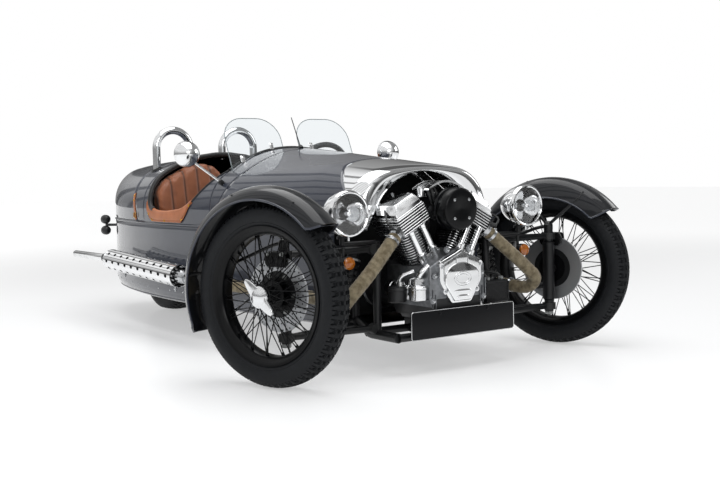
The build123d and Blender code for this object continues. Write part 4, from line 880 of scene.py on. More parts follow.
piece("cowl_dome", [(sheet(cowl_grid), chrome)], replaces=["front_cowl"],
      closed=False, smooth=60, wall=0.0025, inner=powder)

# %% [markdown]
# ## The front wheels
#
# Each front corner is worked out about its own wheel: X to the rear, Y up and Z outboard from the
# middle of the tyre. One matrix for each side puts it on the axle as the car is parked, steered to
# the left. On the right the matrix is a mirror image, so one set of shapes serves both sides.

# %% The corners' own axes
def corner(side):
    """From wheel axes to the car's: columns are rearward, up and outboard at the wheel."""
    joint = joints["wheel_left_spin" if side > 0 else "wheel_right_spin"]
    outboard = Vector(joint["axis"]) * side
    rearward = Vector((-outboard.y, outboard.x, 0)) * side
    place = joint["pos_m"]
    return Matrix(((rearward.x, 0, outboard.x, place[0]), (rearward.y, 0, outboard.y,
        place[1] - AXLE_Y), (0, 1, 0, place[2]), (0, 0, 0, 1)))


SIDES = ((1, "left"), (-1, "right"))
KING = -0.073               # kingpin, from the middle of the tyre
print("right wheel centre", [round(c, 3) for c in corner(-1).translation])

# %% [markdown]
# A tyre is one section carried round the wheel. Its side is a round arc from the bead to the
# shoulder, and its crown a flatter one. The tread is cut into that section: the radius drops by
# the groove's depth where the grid lies in a groove. Three ribs run all round, their edges step
# from side to side, and slots part the shoulder into blocks. The grid has lines exactly where a
# groove starts and ends, so its walls are steep with few faces.

# %% Tyres
def three_point(a, b, c, count):
    """Points along the circle through a, b and c, from a to c."""
    (ax, ay), (bx, by), (cx, cy) = a, b, c
    d = 2 * (ax * (by - cy) + bx * (cy - ay) + cx * (ay - by))
    ux = ((ax * ax + ay * ay) * (by - cy) + (bx * bx + by * by) * (cy - ay)
          + (cx * cx + cy * cy) * (ay - by)) / d
    uy = ((ax * ax + ay * ay) * (cx - bx) + (bx * bx + by * by) * (ax - cx)
          + (cx * cx + cy * cy) * (bx - ax)) / d
    start, middle, end = (math.atan2(y - uy, x - ux) for x, y in (a, b, c))
    sweep = (end - start) % (2 * math.pi)
    if (middle - start) % (2 * math.pi) > sweep:
        sweep -= 2 * math.pi
    angle = start + np.linspace(0, 1, count) * sweep
    radius = math.hypot(ax - ux, ay - uy)
    return np.stack([ux + radius * np.cos(angle), uy + radius * np.sin(angle)], 1)


def tyre(tall, wide, seat, rim, bead, shoulder, drop, pitches, depth, lanes, slot_from):
    """Section (height, radius) round the wheel; lanes are groove centres, 0 to 1 of the crown."""
    edge = wide - shoulder
    side = three_point((seat, rim + 0.001), (wide, rim + 0.36 * (tall - rim) + 0.006),
        (edge, tall - drop), 12)[:-1]
    cuts = sorted({0.0, 1.0, *(lane + off for lane in lanes for off in (-.045, -.02, .02, .045)),
        slot_from - 0.02, slot_from, 0.97})
    cuts = np.array([c for c in cuts if 0 <= c <= 1])
    across = np.concatenate([cuts[::-1], -cuts[1:]])
    arc_radius = (edge ** 2 + drop ** 2) / (2 * drop)
    crown = np.stack([
        across * edge, tall - arc_radius + np.sqrt(arc_radius ** 2 - (across * edge) ** 2)], 1)
    section = np.vstack([[[seat, bead]], side, crown, (side * (-1, 1))[::-1], [[-seat, bead]]])
    place = np.concatenate([np.full(1 + len(side), 9.0), across, np.full(1 + len(side), 9.0)])
    parts = np.array([0.0, 0.04, 0.10, 0.40, 0.46, 0.54, 0.60, 0.90, 0.96])
    angle = ((np.arange(pitches)[:, None] + parts) / pitches * 2 * np.pi).ravel()
    part = np.tile(parts, pitches)
    step = np.where((part > 0.05) & (part < 0.5), 0.03, -0.03)[:, None]
    nearest = np.min(np.abs(np.abs(place)[None, None] - np.array(lanes)[:, None, None] - step[None]
        * np.sign(place)), 0)
    groove = np.clip((0.05 - nearest) / 0.02, 0, 1)
    slot = ((part < 0.02) | (part > 0.95) | ((part > 0.45) & (part < 0.55)))[:, None]
    shoulder_lane = (np.abs(place) > slot_from) & (np.abs(place) <= 1.0)
    groove = np.maximum(groove, slot * shoulder_lane[None] * 0.85) * (np.abs(place) <= 1.0)
    radius = section[:, 1] - groove * depth
    points = np.stack([np.cos(angle)[:, None] * radius, np.sin(angle)[:, None] * radius,
        np.broadcast_to(section[:, 0], radius.shape)], -1)
    return sheet(points, wrap_rows=True)


front_tyre = tyre(0.338, 0.054, 0.0414, 0.255, 0.239, 0.009, 0.017, 62, 0.0085, (0.22, 0.62), 0.68)
sidewall_line = [turned([(r - 0.0012, z), (r, z + 0.0012), (r + 0.0012, z)], 96)
    for r, z in ((0.268, 0.0492), (0.312, 0.0492))]
for side, word in SIDES:
    both_lines = [moved(line, Matrix.Diagonal((1, 1, flip, 1))) for line in sidewall_line
        for flip in (1, -1)]
    piece(f"tyre_{word}", [(moved(joined(front_tyre, *both_lines), corner(side)), rubber)],
          body=f"wheel_{word}", replaces=[f"front_tyre_{word}"], smooth=25)

# %% [markdown]
# A wire wheel hangs its rim on tensioned spokes. They leave two hub flanges, and at each flange
# half of them lean forward and half back, so they cross in pairs: that is what carries the drive
# and the brakes. Each spoke is one thin cylinder, stretched by its matrix from the flange to its
# nipple in the rim, and all of them are placed by one product of arrays.

# %% Rim, spokes, hub and knock-off nut
HUB_OUTER, HUB_INNER = 0.058, -0.006
rim_profile = mm((222, -24), (222, 24), (224.5, 28), (236, 40), (247, 45.5), (254.5, 46.5),
    (255.5, 44.8), (253.5, 42.5), (238.5, 41.8), (236.5, 30), (226.5, 22), (226.5, -22),
    (236.5, -30), (238.5, -41.8), (253.5, -42.5), (255.5, -44.8), (254.5, -46.5), (247, -45.5),
    (236, -40), (224.5, -28))
rim = turned(np.vstack([rim_profile, rim_profile[:1]]), 120)


def rod_matrix(start, end):
    """Lays a rod of length one along Z from start to end."""
    start, end = Vector(start), Vector(end)
    return facing(start, end - start) @ Matrix.Diagonal((1, 1, (end - start).length, 1))


def polar(angle, radius, height):
    """(x, y, z) at an angle in degrees about Z."""
    return (radius * math.cos(math.radians(angle)), radius * math.sin(math.radians(angle)), height)


# flange height, flange radius, spokes in the set, degrees round, height and start angle at the rim
SPOKE_SETS = (
    (HUB_OUTER + 0.002, 0.040, 18, 34, 0.012, 0), (HUB_OUTER - 0.002, 0.040, 18, -34, 0.010, 10),
    (HUB_INNER + 0.001, 0.047, 12, 38, -0.012, 4), (HUB_INNER - 0.003, 0.047, 12, -38, -0.010, 19))
spoke_rod = turned([(0.0021, 0), (0.0021, 1)], 6)
nipple = turned(mm((0, 0), (3.6, 0), (3.6, 4), (3, 14), (2.4, 15)), 8)
spoke_places, nipple_places = [], []
for height, radius, count, lean, rim_height, first_angle in SPOKE_SETS:
    for step in range(count):
        angle = first_angle + 360 * step / count
        hub_end, rim_end = polar(angle, radius, height), polar(angle + lean, 0.2235, rim_height)
        spoke_places.append(rod_matrix(hub_end, rim_end))
        nipple_places.append(facing(rim_end, Vector(hub_end) - Vector(rim_end)))
hub = turned(mm((0, -39.5), (62, -39.5), (62, -31), (34, -28), (34, -14), (50, -10), (52, -8),
    (52, -3), (50, -1), (34, 4), (30, 12), (30, 44), (34, 50), (43, 53.5), (45, 55.5), (45, 60.5),
    (43, 62.5), (34, 64), (34, 67)), 48)
nut_body = turned(mm((34, 65.5), (40, 67), (41, 70), (40, 73.5), (35, 75), (33, 76.5), (28, 78),
    (22, 81.5), (13, 84.8), (6, 85.8), (0, 86)), 56)
ear_way = np.linspace(0, 1, 14)
ear_half = 0.025 - 0.012 * ear_way - 0.006 * ear_way ** 6
ear_x = 0.018 + 0.068 * ear_way
ear_line = np.vstack([np.column_stack([ear_x, -ear_half]), [(0.0875, 0.0)],
    np.column_stack([ear_x, ear_half])[::-1]])
ear_line = np.vstack([ear_line, -ear_line])
nut_ears = moved(plate(ear_line, 0.066, 0.0775, 0.0035, 3), turn(44, "Z"))
valve = moved(turned(mm((0, 0), (3, 0), (3, 18), (4.2, 19), (4.2, 30), (0, 30)), 10),
    facing(polar(75, 0.2225, 0.0), (-0.26, -0.97, 0)))
for side, word in SIDES:
    place = corner(side)
    piece(f"wheel_{word}", placed(
        place, (joined(rim, repeated(spoke_rod, spoke_places)), stove_black),
        (hub, stove_black), (repeated(nipple, nipple_places), stove_black),
        (joined(nut_body, nut_ears), polished), (valve, soft_rubber)),
        body=f"wheel_{word}", replaces=[f"front_wheel_{word}"])

# %% [markdown]
# The brake disc turns with the wheel: a turned steel ring on a drilled carrier. Its ring is cross
# drilled, which is modelled as small dark discs on its face, painted shade for the holes' dark
# insides, because a real hole would cost a cut in the ring for every drilling and nothing can be
# seen through it.

# %% Brake discs
disc_ring = turned(mm((86, -39.5), (139, -39.5), (140, -38.5), (140, -32.5), (139, -31.5),
    (86, -31.5), (86, -39.5)), 96)
disc_bell = turned(mm((58, -38.5), (88, -38.5), (88, -32.5), (58, -32.5)), 64)
# Painted shade: each hole is a thin black disc on the ring's face.
drilling = turned(mm((3.4, 0), (3.4, 0.4), (0, 0.4)), 10)
drillings = [at(*polar(angle + 7 * ring, 0.096 + 0.012 * ring, -0.0318)) for ring in range(4)
    for angle in range(0, 360, 15)]
disc_bolts = [at(*polar(angle, 0.073, -0.0325)) for angle in range(0, 360, 60)]
for side, word in SIDES:
    place = corner(side)
    piece(f"brake_disc_{word}", placed(
        place, (disc_ring, disc_steel), (disc_bell, powder),
        (repeated(drilling, drillings), barrel_black), (repeated(bolt_head, disc_bolts), zinc)),
        body=f"wheel_{word}")

# %% [markdown]
# The upright is a steel tube on the kingpin, with the stub axle through it, a cast caliper over
# the top of the disc and a plate that carries the caliper. It steers but doesn't spin.

# %% Uprights and calipers
FOOT = -0.338               # the ground, from the middle of the tyre
post = moved(turned(mm((0, 150), (18, 150), (20, 152), (20, 198), (26, 204), (26, 452), (20, 458),
    (20, 504), (18, 506), (0, 506)), 32), at(0, FOOT, KING) @ turn(-90, "X"))
stub = turned(
    [(0.0, KING), (0.030, KING), (0.026, -0.050), (0.015, -0.042), (0.0149, 0.05), (0, 0.05)], 24)
castle = moved(plate(hexagon(0.034), 0, 0.014, 0.002), at(0, FOOT + 0.150, KING) @ turn(90, "X"))
caliper_line = mm(
    (-40, 100), (40, 100), (50, 112), (52, 140), (40, 157), (-40, 157), (-52, 140), (-50, 112))
caliper_halves = [
    plate(caliper_line, low, high, 0.004) for low, high in ((-0.060, -0.0435), (-0.0275, -0.0195))]
caliper_bridge = plate(mm((-40, 147), (40, 147), (40, 157), (-40, 157)), -0.058, -0.021, 0.003)
caliper_pistons = [moved(turned(mm((0, 0), (17, 0), (17, 3), (15, 4), (0, 4)), 24),
    at(x, 0.126, -0.0195)) for x in (-0.024, 0.024)]
carrier = plate(mm((-24, 0), (24, 0), (22, 118), (-22, 118)), -0.079, -0.067, 0.003)
steer_arm = tube([(0.0, -0.070, KING), (0.050, -0.082, KING - 0.006),
    (0.120, -0.086, KING - 0.022)], [0.016, 0.012, 0.010], 12)
ball_joint = turned(mm((0, -12), (12, -12), (15, -4), (15, 8), (8, 14), (0, 15)), 20)
ball_end = moved(ball_joint, at(0.122, -0.086, KING - 0.022) @ turn(-90, "X"))
upright_bolts = [at(x, 0.148, -0.0195) for x in (-0.034, 0.034)]
for side, word in SIDES:
    place = corner(side)
    piece(f"upright_{word}", placed(
        place, (joined(post, stub, steer_arm), powder), (carrier, powder),
        (joined(caliper_bridge, *caliper_halves, *caliper_pistons), stove_black),
        (joined(castle, ball_end, repeated(bolt_head, upright_bolts)), zinc)),
        body=f"steer_{word}", replaces=[f"upright_{word}"])

# %% [markdown]
# ## Mudguards
#
# A cycle mudguard is rolled from sheet: a shallow curve across with its edges turned down,
# deepest over the wheel on the inboard side, a long arc round the wheel, and a wired bead along
# each edge. Here that section, inside and outside, is one closed loop that is carried round an
# arc. Near each end the loop narrows along a quarter of a circle, which rounds the corners.

# %% Mudguards and their stays
GUARD_RADIUS, GUARD_HALF, GUARD_CROWN = 0.392, 0.080, 0.024


def guard_height(across, angle):
    """How far the skin is below its top: a parabola, and a turned-down edge, deeper inboard."""
    share = across / GUARD_HALF
    deep = np.clip((angle - 0.15) / 0.9, 0, 1) ** 2
    edge = np.where(share > 0, 0.026, 0.020 + 0.045 * deep)
    return GUARD_CROWN * share ** 2 + edge * share ** 6


def guard_line(across, angle, lift=0.0):
    """(x, y, z) on the guard in wheel axes; the guard's centre is 15 mm back and 8 mm up."""
    across, angle = np.broadcast_arrays(np.asarray(across, float), np.asarray(angle, float))
    radius = GUARD_RADIUS - guard_height(across, angle) + lift
    return np.stack([0.015 + radius * np.cos(angle), 0.008 + radius * np.sin(angle), across], -1)


share = np.linspace(0, 1, 100)
guard_angle = np.radians(-25 + 164 * share)
from_end = np.minimum(share, 1 - share) * math.radians(164) * GUARD_RADIUS
corner_in = 0.030 * (1 - np.sqrt(np.clip(1 - (1 - np.clip(from_end / 0.030, 0, 1)) ** 2, 0, 1)))
half = (GUARD_HALF - corner_in)[:, None]
across = np.sin(np.linspace(-1, 1, 17) * np.pi / 2)[None, :] * half
outer_skin = guard_line(across, guard_angle[:, None])
inner_skin = guard_line(across[:, ::-1], guard_angle[:, None], -0.0025)
guard_shell = capped(sheet(np.concatenate([outer_skin, inner_skin], 1), wrap_columns=True), 34)
edge_right = guard_line(half[:, 0], guard_angle, -0.001)
edge_left = guard_line(-half[:, 0], guard_angle, -0.001)
bead_loop = np.vstack([edge_right, edge_left[::-1]])
guard_bead = tube(bead_loop, 0.0042, 10, closed=True)
boss_height = FOOT + 0.5063
guard_boss = moved(turned(mm((0, 0), (20, 0), (20, 24), (16, 28), (0, 28)), 28),
    at(0, boss_height, KING) @ turn(-90, "X"))
guard_nut = moved(
    plate(hexagon(0.024), 0, 0.011, 0.0015), at(0, boss_height + 0.028, KING) @ turn(-90, "X"))
stays, stay_bolts = [], []
for angle in (8.0, 72.0, 118.0):
    tip = guard_line(-0.070, math.radians(angle), -0.006)
    stays.append(tube(
        bent_line([(0, boss_height + 0.018, KING),
        (0.15 * tip[0], boss_height + 0.022 + 0.12 * (tip[1] - boss_height), KING - 0.004), tip],
        0.06), 0.0075, 12))
    for z in (-0.058, 0.0, 0.058):
        place = guard_line(z, math.radians(angle))
        stay_bolts.append(facing(
            place, (math.cos(math.radians(angle)), math.sin(math.radians(angle)), 0.006 * z)))
    cross = guard_line(np.linspace(-0.072, 0.066, 12), math.radians(angle), -0.007)
    stays.append(tube(cross, 0.005, 8))
for side, word in SIDES:
    place = corner(side)
    piece(f"mudguard_{word}_shell", placed(
        place, (guard_shell, guard_enamel), (guard_bead, enamel),
        (joined(guard_boss, *stays), powder), (guard_nut, zinc),
        (repeated(rivet, stay_bolts), guard_enamel)),
        body=f"steer_{word}", replaces=[f"mudguard_{word}"])

# %% [markdown]
# ## The engine
#
# The V-twin hangs in front of the axle with its cylinders 28 degrees from the upright. Everything
# on a cylinder is worked out along that cylinder: x outboard, y rearward, z away from the crank.
# One matrix lays it on the left bank, and its mirror image on the right.

# %% The cylinders' axes
CRANK = 0.290
BANK = math.radians(28)
ENGINE_Y = -0.030


def bank(side):
    """From a cylinder's own axes to the car's."""
    c, s = math.cos(BANK), math.sin(BANK)
    return Matrix(
        ((side * c, 0, side * s, 0), (0, 1, 0, ENGINE_Y), (-s, 0, c, CRANK), (0, 0, 0, 1)))


def banks(shape):
    """The shape on both cylinders."""
    return joined(moved(shape, bank(1)), moved(shape, bank(-1)))


# %% [markdown]
# Cooling fins are cast with the barrel and the head, painted with heat-proof black, and then their
# edges are machined bright. So each fin on a barrel is a black plate with a thin bright band round
# its edge. The heads' fins are thicker, square with round corners, and bare metal.

# %% Cylinders and heads
def fin(outline, low, high):
    """A plate, and the bright band that stands 0.3 mm proud of its edge."""
    outline = np.array(outline)
    grown = outline * (1 + 0.0003 / np.abs(outline).max())
    levels = np.array([low + 0.0006, high - 0.0006])
    band = np.concatenate([np.broadcast_to(grown, (2, *grown.shape)),
        np.broadcast_to(levels[:, None, None], (2, len(grown), 1))], -1)
    return plate(outline, low, high, 0.0006, 1), sheet(band, wrap_columns=True)


barrel_line, head_line = rounded(0.136, 0.136, 0.034, 6), rounded(0.160, 0.184, 0.016, 5)
fins, bands = [], []
for level in np.arange(0.174, 0.300, 0.0105):
    for store, part in zip((fins, bands), fin(barrel_line, level, level + 0.0042)):
        store.append(part)
head_fins = [
    plate(head_line, level, level + 0.0048, 0.001, 1) for level in np.arange(0.306, 0.372, 0.0108)]
core = joined(turned(mm((0, 167), (72, 167), (72, 172), (56, 174), (56, 305), (0, 305)), 40),
    plate(rounded(0.132, 0.156, 0.016), 0.304, 0.3735, 0.002))
plug = moved(turned(mm((0, 0), (10, 0), (10, 12), (7, 14), (7, 30), (9, 32), (9, 52), (0, 54)),
    16), facing((0.060, -0.070, 0.340), (0.75, -0.6, 0.1)))
piece("cylinder_fins", [
    (banks(joined(core, *fins)), barrel_black), (banks(joined(*bands, *head_fins)), fin_edge),
    (banks(plug), soft_rubber)], replaces=["cylinders"])

# %% [markdown]
# The rocker covers are die castings, polished by hand. A flange and a short skirt stand on the
# head, then flat faces lean in to a smaller top, which is set inboard. Their corners are only
# softened. Hex bolts hold the flange and the top.

# %% Rocker covers
def tower(levels):
    """Rounded rectangles joined into one form; each row is width, depth, corner, x shift, z."""
    rings = []
    for width, depth, radius, shift, z in levels:
        line = rounded(width, depth, radius, 5) + (shift, 0)
        rings.append(np.column_stack([line, np.full(len(line), z)]))
    return capped(sheet(np.array(rings), wrap_columns=True), len(rings[0]))


cover_form = tower(mm((146, 176, 12, 0, 374.5), (148, 178, 12, 0, 375.5), (148, 178, 12, 0, 381.5),
    (146, 176, 12, 0, 382.5), (138, 168, 11, 0, 383), (138, 168, 11, 0, 396.5),
    (136, 166, 11, -0.5, 398), (108, 140, 12, -7, 422.5), (104, 136, 12, -8, 424.5),
    (100, 132, 12, -8, 425)))
cover_bolts = [at(x, y, 0.3825) for x in (-0.0645, 0.0645) for y in (-0.060, 0.0, 0.060)]
cover_bolts += [at(-0.008 + x, y, 0.425) for x in (-0.038, 0.038) for y in (-0.052, 0.052)]
small_bolt = moved(bolt_head, Matrix.Diagonal((0.8, 0.8, 0.8, 1)))
piece("rocker_castings", [(banks(cover_form), polished), (banks(repeated(small_bolt, cover_bolts)),
    stainless)], replaces=["rocker_covers"], smooth=22)

# %% [markdown]
# Two pushrods to each cylinder run in chromed tubes, from polished tappet blocks on the crankcase
# to collars under the head.

# %% Pushrod tubes
deck_height = 0.1683
tappet = moved(turned(mm((0, 0), (17.5, 0), (16.5, 30), (17.2, 32), (17.2, 38), (13.5, 41),
    (0, 41)), 28), at(0, 0, deck_height))
tube_line = turned([(0.0125, deck_height + 0.034), (0.0125, 0.292), (0.0148, 0.294),
    (0.0148, 0.3055), (0, 0.3055)], 28)
tubes_at = [at(x, -0.085, 0) for x in (-0.026, 0.034)]
tappet_block = moved(tower(mm(
    (102, 34, 8, 0, 0), (100, 33, 8, 0, 18), (88, 30, 8, 0, 24))), at(0.004, -0.080, deck_height))
block_bolts = [
    facing((x, -0.096, deck_height + 0.012), (0, -1, 0.1)) for x in (-0.040, 0.0, 0.040)]
piece("pushrod_covers", [(banks(repeated(tube_line, tubes_at)), chrome), (
    banks(joined(tappet_block, repeated(tappet, tubes_at))), polished),
    (banks(repeated(small_bolt, block_bolts)), stainless)],
    replaces=["pushrod_tubes"])

# %% [markdown]
# The crankcase is two castings bolted together on the engine's middle plane, and its lower half
# is painted black. Its outline narrows to the sump and widens to the two decks that carry the
# cylinders. Ribs stiffen its face, bosses carry the bolts, and behind it a bell housing reaches
# back to the bulkhead. The starter motor lies along its right side, with the oil bowl and the
# breather upright in front of it.

# %% Crankcase
def bank_point(across, along):
    """(x, z) in the car of a point on the left cylinder."""
    return (along * math.sin(BANK) + across * math.cos(BANK),
            CRANK + along * math.cos(BANK) - across * math.sin(BANK))


STAND = turn(90, "X")       # lays a plate's own Z along -Y, with its Y up


def standing(outline, front_y, rear_y, bevel=0.0, rings=2):
    """A plate from an outline in (x, z), between two stations along the car."""
    return moved(plate(outline, -rear_y, -front_y, bevel, rings), STAND)


outer_deck, inner_deck = bank_point(0.068, 0.1677), bank_point(-0.068, 0.1677)
case_half = np.array([(0.094, 0.205), (0.104, 0.225), (outer_deck[0] - 0.004, CRANK - 0.012),
    (outer_deck[0], CRANK + 0.010), outer_deck, inner_deck])
case_line = np.vstack([case_half, (case_half * (-1, 1))[::-1]])
case_body = standing(case_line, -0.182, 0.096, 0.006, 3)
ribs = []
for side in (1, -1):
    for x, low, high in ((0.112, 0.235, 0.300), (0.126, 0.245, 0.320), (0.140, 0.275, 0.350)):
        line = [(side * x - 0.0025, low), (side * x + 0.0025, low), (side * x + 0.0025, high),
                (side * x - 0.0025, high)]
        ribs.append(standing(line, -0.1865, -0.178, 0.001))
case_bolts = [facing((x, -0.182, z), (0, -1, 0)) for x, z in (
    (0.085, 0.220), (-0.085, 0.220), (0.128, 0.276), (-0.128, 0.276), (0.118, 0.372),
    (-0.118, 0.372), (0.055, 0.470), (-0.055, 0.470))]
boss = turned(mm((14, 0), (13, 6), (10, 7), (0, 7)), 20)
bell = moved(turned(mm((0, -330), (108, -330), (108, -318), (100, -314), (88, -220), (104, -120),
    (104, -88), (0, -88)), 56), at(0, 0, CRANK + 0.010) @ STAND)
starter = moved(turned(mm((0, 0), (34, 0), (35.5, 3), (35.5, 30), (33, 32), (33, 36), (35.5, 38),
    (35.5, 120), (32, 124), (32, 130), (26, 138), (0, 140)), 40), at(-(outer_deck[0] + 0.020),
    0.040, CRANK + 0.022) @ STAND)
canister = turned(mm((0, -2), (30, 0), (36.5, 4), (37, 10), (37, 44), (39, 46), (39, 54), (36, 57),
    (36, 60), (30, 64), (12, 66), (12, 74), (0, 74)), 44)
oil_bowl = moved(canister, at(-0.162, -0.140, 0.277))
breather = moved(canister, at(-0.212, -0.070, 0.270))
carrier = joined(moved(tower(
    mm((80, 50, 12, 0, 0), (78, 48, 12, 0, 22), (60, 36, 10, 0, 28))), at(-0.152, -0.135, 0.340)),
    moved(tower(mm((100, 40, 12, 0, 0), (94, 36, 12, 0, 20))), at(-0.170, -0.075, 0.330)),
    tube(bent_line(mm((-160, -135, 352), (-160, -150, 385), (-126, -160, 410)), 0.02), 0.012, 16),
    tube(bent_line(mm((-205, -70, 340), (-205, -85, 372), (-160, -110, 392)), 0.02), 0.009, 16))
case_low = standing(
    [(-0.095, 0.204), (0.095, 0.204), (0.105, 0.225), (outer_deck[0] - 0.002, 0.284),
    (-outer_deck[0] + 0.002, 0.284), (-0.105, 0.225)], -0.184, 0.097, 0.006, 3)
sump = standing(mm((-86, 190), (86, 190), (98, 208), (-98, 208)), -0.160, 0.070, 0.004)
piece("crankcase_castings", [
    (joined(case_low, sump, breather), barrel_black),
    (joined(case_body, *ribs, bell, repeated(boss, case_bolts)), cast),
    (joined(starter, oil_bowl, carrier), polished),
    (repeated(moved(bolt_head, at(0, 0, 0.006)), case_bolts), stainless)],
    replaces=["engine_crankcase"])

# %% [markdown]
# The cam cover is the engine's shield: a chromed casting with a raised gable above a wide face.
# Its edge steps back, the gable has three flat facets, two oval rings frame a bare badge place,
# and two swellings cross its foot. Four bolts hold it at its corners.

# %% Cam cover
cam_half = mm((0, 180), (30, 166), (94, 140), (102, 134), (104, 124), (104, 64), (100, 52),
    (52, -22), (44, -26))
cam_line = np.vstack([cam_half[::-1], cam_half[1:] * (-1, 1)]) + (0, CRANK)
face_turn = np.linspace(0.30, np.pi - 0.30, 22)
dome_top = np.stack([0.088 * np.cos(face_turn), 0.070 + 0.062 * np.sin(face_turn)], 1)
face_line = np.vstack([mm((40, -18), (86, 50)), dome_top, mm((-86, 50), (-40, -18))])
gable_left = mm((-30, 118), (-30, 156), (-88, 131), (-88, 88), (-72, 100))[::-1]
gable_middle = mm((28, 122), (28, 157), (0, 170), (-28, 157), (-28, 122))
gables = [gable_left[::-1], gable_middle, (gable_left * (-1, 1))]
badge = np.linspace(0, 2 * np.pi, 48, endpoint=False)
badge_rings = [tube(np.column_stack(
    [wide * np.cos(badge), np.full(48, -0.2124), CRANK + 0.066 + tall * np.sin(badge)]), 0.0022, 8,
    closed=True) for wide, tall in ((0.042, 0.027), (0.030, 0.018))]
ridges = [moved(turned([(0.0, 0.0055), (0.4, 0.0050), (0.8, 0.0028), (1.0, -0.0005)], 32),
    at(0, -0.2120, CRANK + z) @ STAND @ Matrix.Diagonal((wide, 0.0075, 1, 1)))
    for wide, z in ((0.050, 0.020), (0.036, -0.001))]
cam_bolts = [facing((x, -0.2045, CRANK + z), (0, -1, 0)) for x, z in (
    (0.094, 0.118), (-0.094, 0.118), (0.076, 0.022), (-0.076, 0.022))]
cam_ears = [moved(turned(mm((10.5, -2), (10.5, 20), (0, 20)), 20), facing((x, -0.1845, CRANK + z),
    (0, -1, 0))) for x, z in ((0.098, 0.122), (-0.098, 0.122), (0.080, 0.020), (-0.080, 0.020))]
piece("cam_shield", [
    (standing(cam_line, -0.203, -0.1823, 0.003, 3), chrome),
    (standing(face_line + (0, CRANK), -0.2130, -0.200, 0.005, 4), chrome),
    (joined(*[standing(line + (0, CRANK), -0.2095, -0.202, 0.002, 2) for line in gables]),
     polished),
    (joined(*ridges, *badge_rings, *cam_ears), chrome),
    (repeated(small_bolt, cam_bolts), stainless)],
    replaces=["cam_cover"], smooth=28)

# %% [markdown]
# The air cleaner is a black drum with a dished front and four screws. Behind it a throat leads
# back to the throttle body between the cylinders, and a runner to each head. An arched bridge ties
# the two heads together over it, and vent hoses drop from the bridge into the valley.

# %% Air cleaner and intake
DRUM_Z = 0.627
drum = moved(turned(mm((0, 93.5), (12, 93.5), (16, 95), (26, 95), (30, 96.2), (72, 97.5),
    (78.5, 95), (82, 89), (82, 40), (80.8, 38.5), (80.8, 35.5), (82, 34), (82, 20), (76, 12),
    (30, 0), (0, 0)), 72), at(0, -0.117, DRUM_Z) @ STAND)
drum_screws = [facing((0.036 * sx, -0.2138, DRUM_Z + 0.036 * sz), (0, -1, 0)) for sx in (-1, 1)
    for sz in (-1, 1)]
screw = turned(mm((6.2, 0), (5.8, 2.2), (4, 3), (2.2, 3), (2, 1.5), (0, 1.5)), 20)
throat = tube(mm((0, -120, 628), (0, -90, 620), (0, -50, 606)), [0.031, 0.029, 0.029], 28)
throttle = moved(
    turned(mm((0, -28), (33, -28), (33, 22), (0, 22)), 28), at(0, -0.070, 0.612) @ STAND)
runner = tube(mm((-108, -30, 604), (-50, -30, 606), (50, -30, 606), (108, -30, 604)), 0.0235, 24)
runner_clamps = [moved(turned(mm((23.5, -6), (25.8, -6), (25.8, 6), (23.5, 6)), 28),
    at(x, -0.03, 0.606) @ turn(90, "Y")) for x in (-0.06, 0.06)]
arch_x = np.linspace(-0.088, 0.088, 25)
arch_top = 0.738 - 0.030 * (arch_x / 0.088) ** 2
bridge = standing(np.vstack([np.column_stack([arch_x, arch_top]),
    np.column_stack([arch_x, arch_top - 0.006])[::-1]]), -0.122, -0.020, 0.001)
bridge_feet = [moved(tower(mm((30, 34, 6, 0, 0), (26, 30, 6, 0, 30), (18, 22, 5, 0, 40))),
    at(x, -0.080, 0.676)) for x in (-0.094, 0.094)]
valley_hoses = [tube(smooth_line([(x, -0.100, 0.712), (x + 0.006, -0.112, 0.675),
    (x * 0.6, -0.095, 0.630), (x * 0.5, -0.060, 0.600)], 30), wide, 10)
    for x, wide in ((-0.082, 0.0055), (-0.064, 0.008), (-0.046, 0.0055), (0.066, 0.008))]
fuel_line = tube(smooth_line(
    mm((-45, -60, 622), (-75, -95, 600), (-60, -60, 560), (-70, 60, 520)), 40), 0.005, 8)
piece("air_cleaner_drum", [(drum, stove_black), (repeated(screw, drum_screws), stainless),
    (joined(throat, runner), soft_rubber), (throttle, cast), (joined(*runner_clamps), stainless),
    (joined(bridge, *bridge_feet), polished), (joined(fuel_line, *valley_hoses), soft_rubber)],
    replaces=["air_cleaner"], smooth=40)

# %% [markdown]
# Cables and hoses fill the valley of a real engine: plug leads from a coil to each cylinder, and
# oil hoses to the cooler. They are fixed at both ends, so they are part of the engine's dressing.

# %% Leads, hoses and the cooler
coil = moved(plate(rounded(0.070, 0.050, 0.008), -0.025, 0.025, 0.004), at(0.0, 0.050, 0.560))
plug_end = bank(1) @ Vector((0.099, -0.101, 0.345))
lead = tube(smooth_line([tuple(plug_end), (0.275, -0.100, 0.585), (0.180, 0.030, 0.655),
    (0.030, 0.050, 0.575)], 48), 0.0042, 8)
hoses = [tube(smooth_line(
    [(x, -0.140, 0.326), (x - 0.004, -0.120, 0.352), (x - 0.045, -0.060, 0.352),
    (0.150, 0.020, z)], 36), 0.0075, 10) for x, z in ((0.190, 0.330), (0.262, 0.300))]
hose_nuts = [
    moved(plate(hexagon(0.020), 0, 0.016, 0.002), at(x, -0.140, 0.328)) for x in (0.190, 0.262)]
piece("engine_leads", [(both_sides(lead), soft_rubber), (joined(*hoses), soft_rubber),
    (coil, plastic), (joined(*hose_nuts), zinc)])
cooler_fins = [moved(plate(rounded(0.112, 0.037, 0.003), 0, 0.0016, 0), at(0.225, -0.1465, z))
    for z in np.arange(0.250, 0.322, 0.0048)]
tanks = [moved(plate(rounded(0.120, 0.034, 0.006), low, high, 0.003), at(0.225, -0.1465, 0))
    for low, high in ((0.240, 0.250), (0.320, 0.330))]
cheeks = [moved(plate(rounded(0.004, 0.037, 0.001), 0.246, 0.324, 0.0005), at(x, -0.1465, 0))
    for x in (0.167, 0.283)]
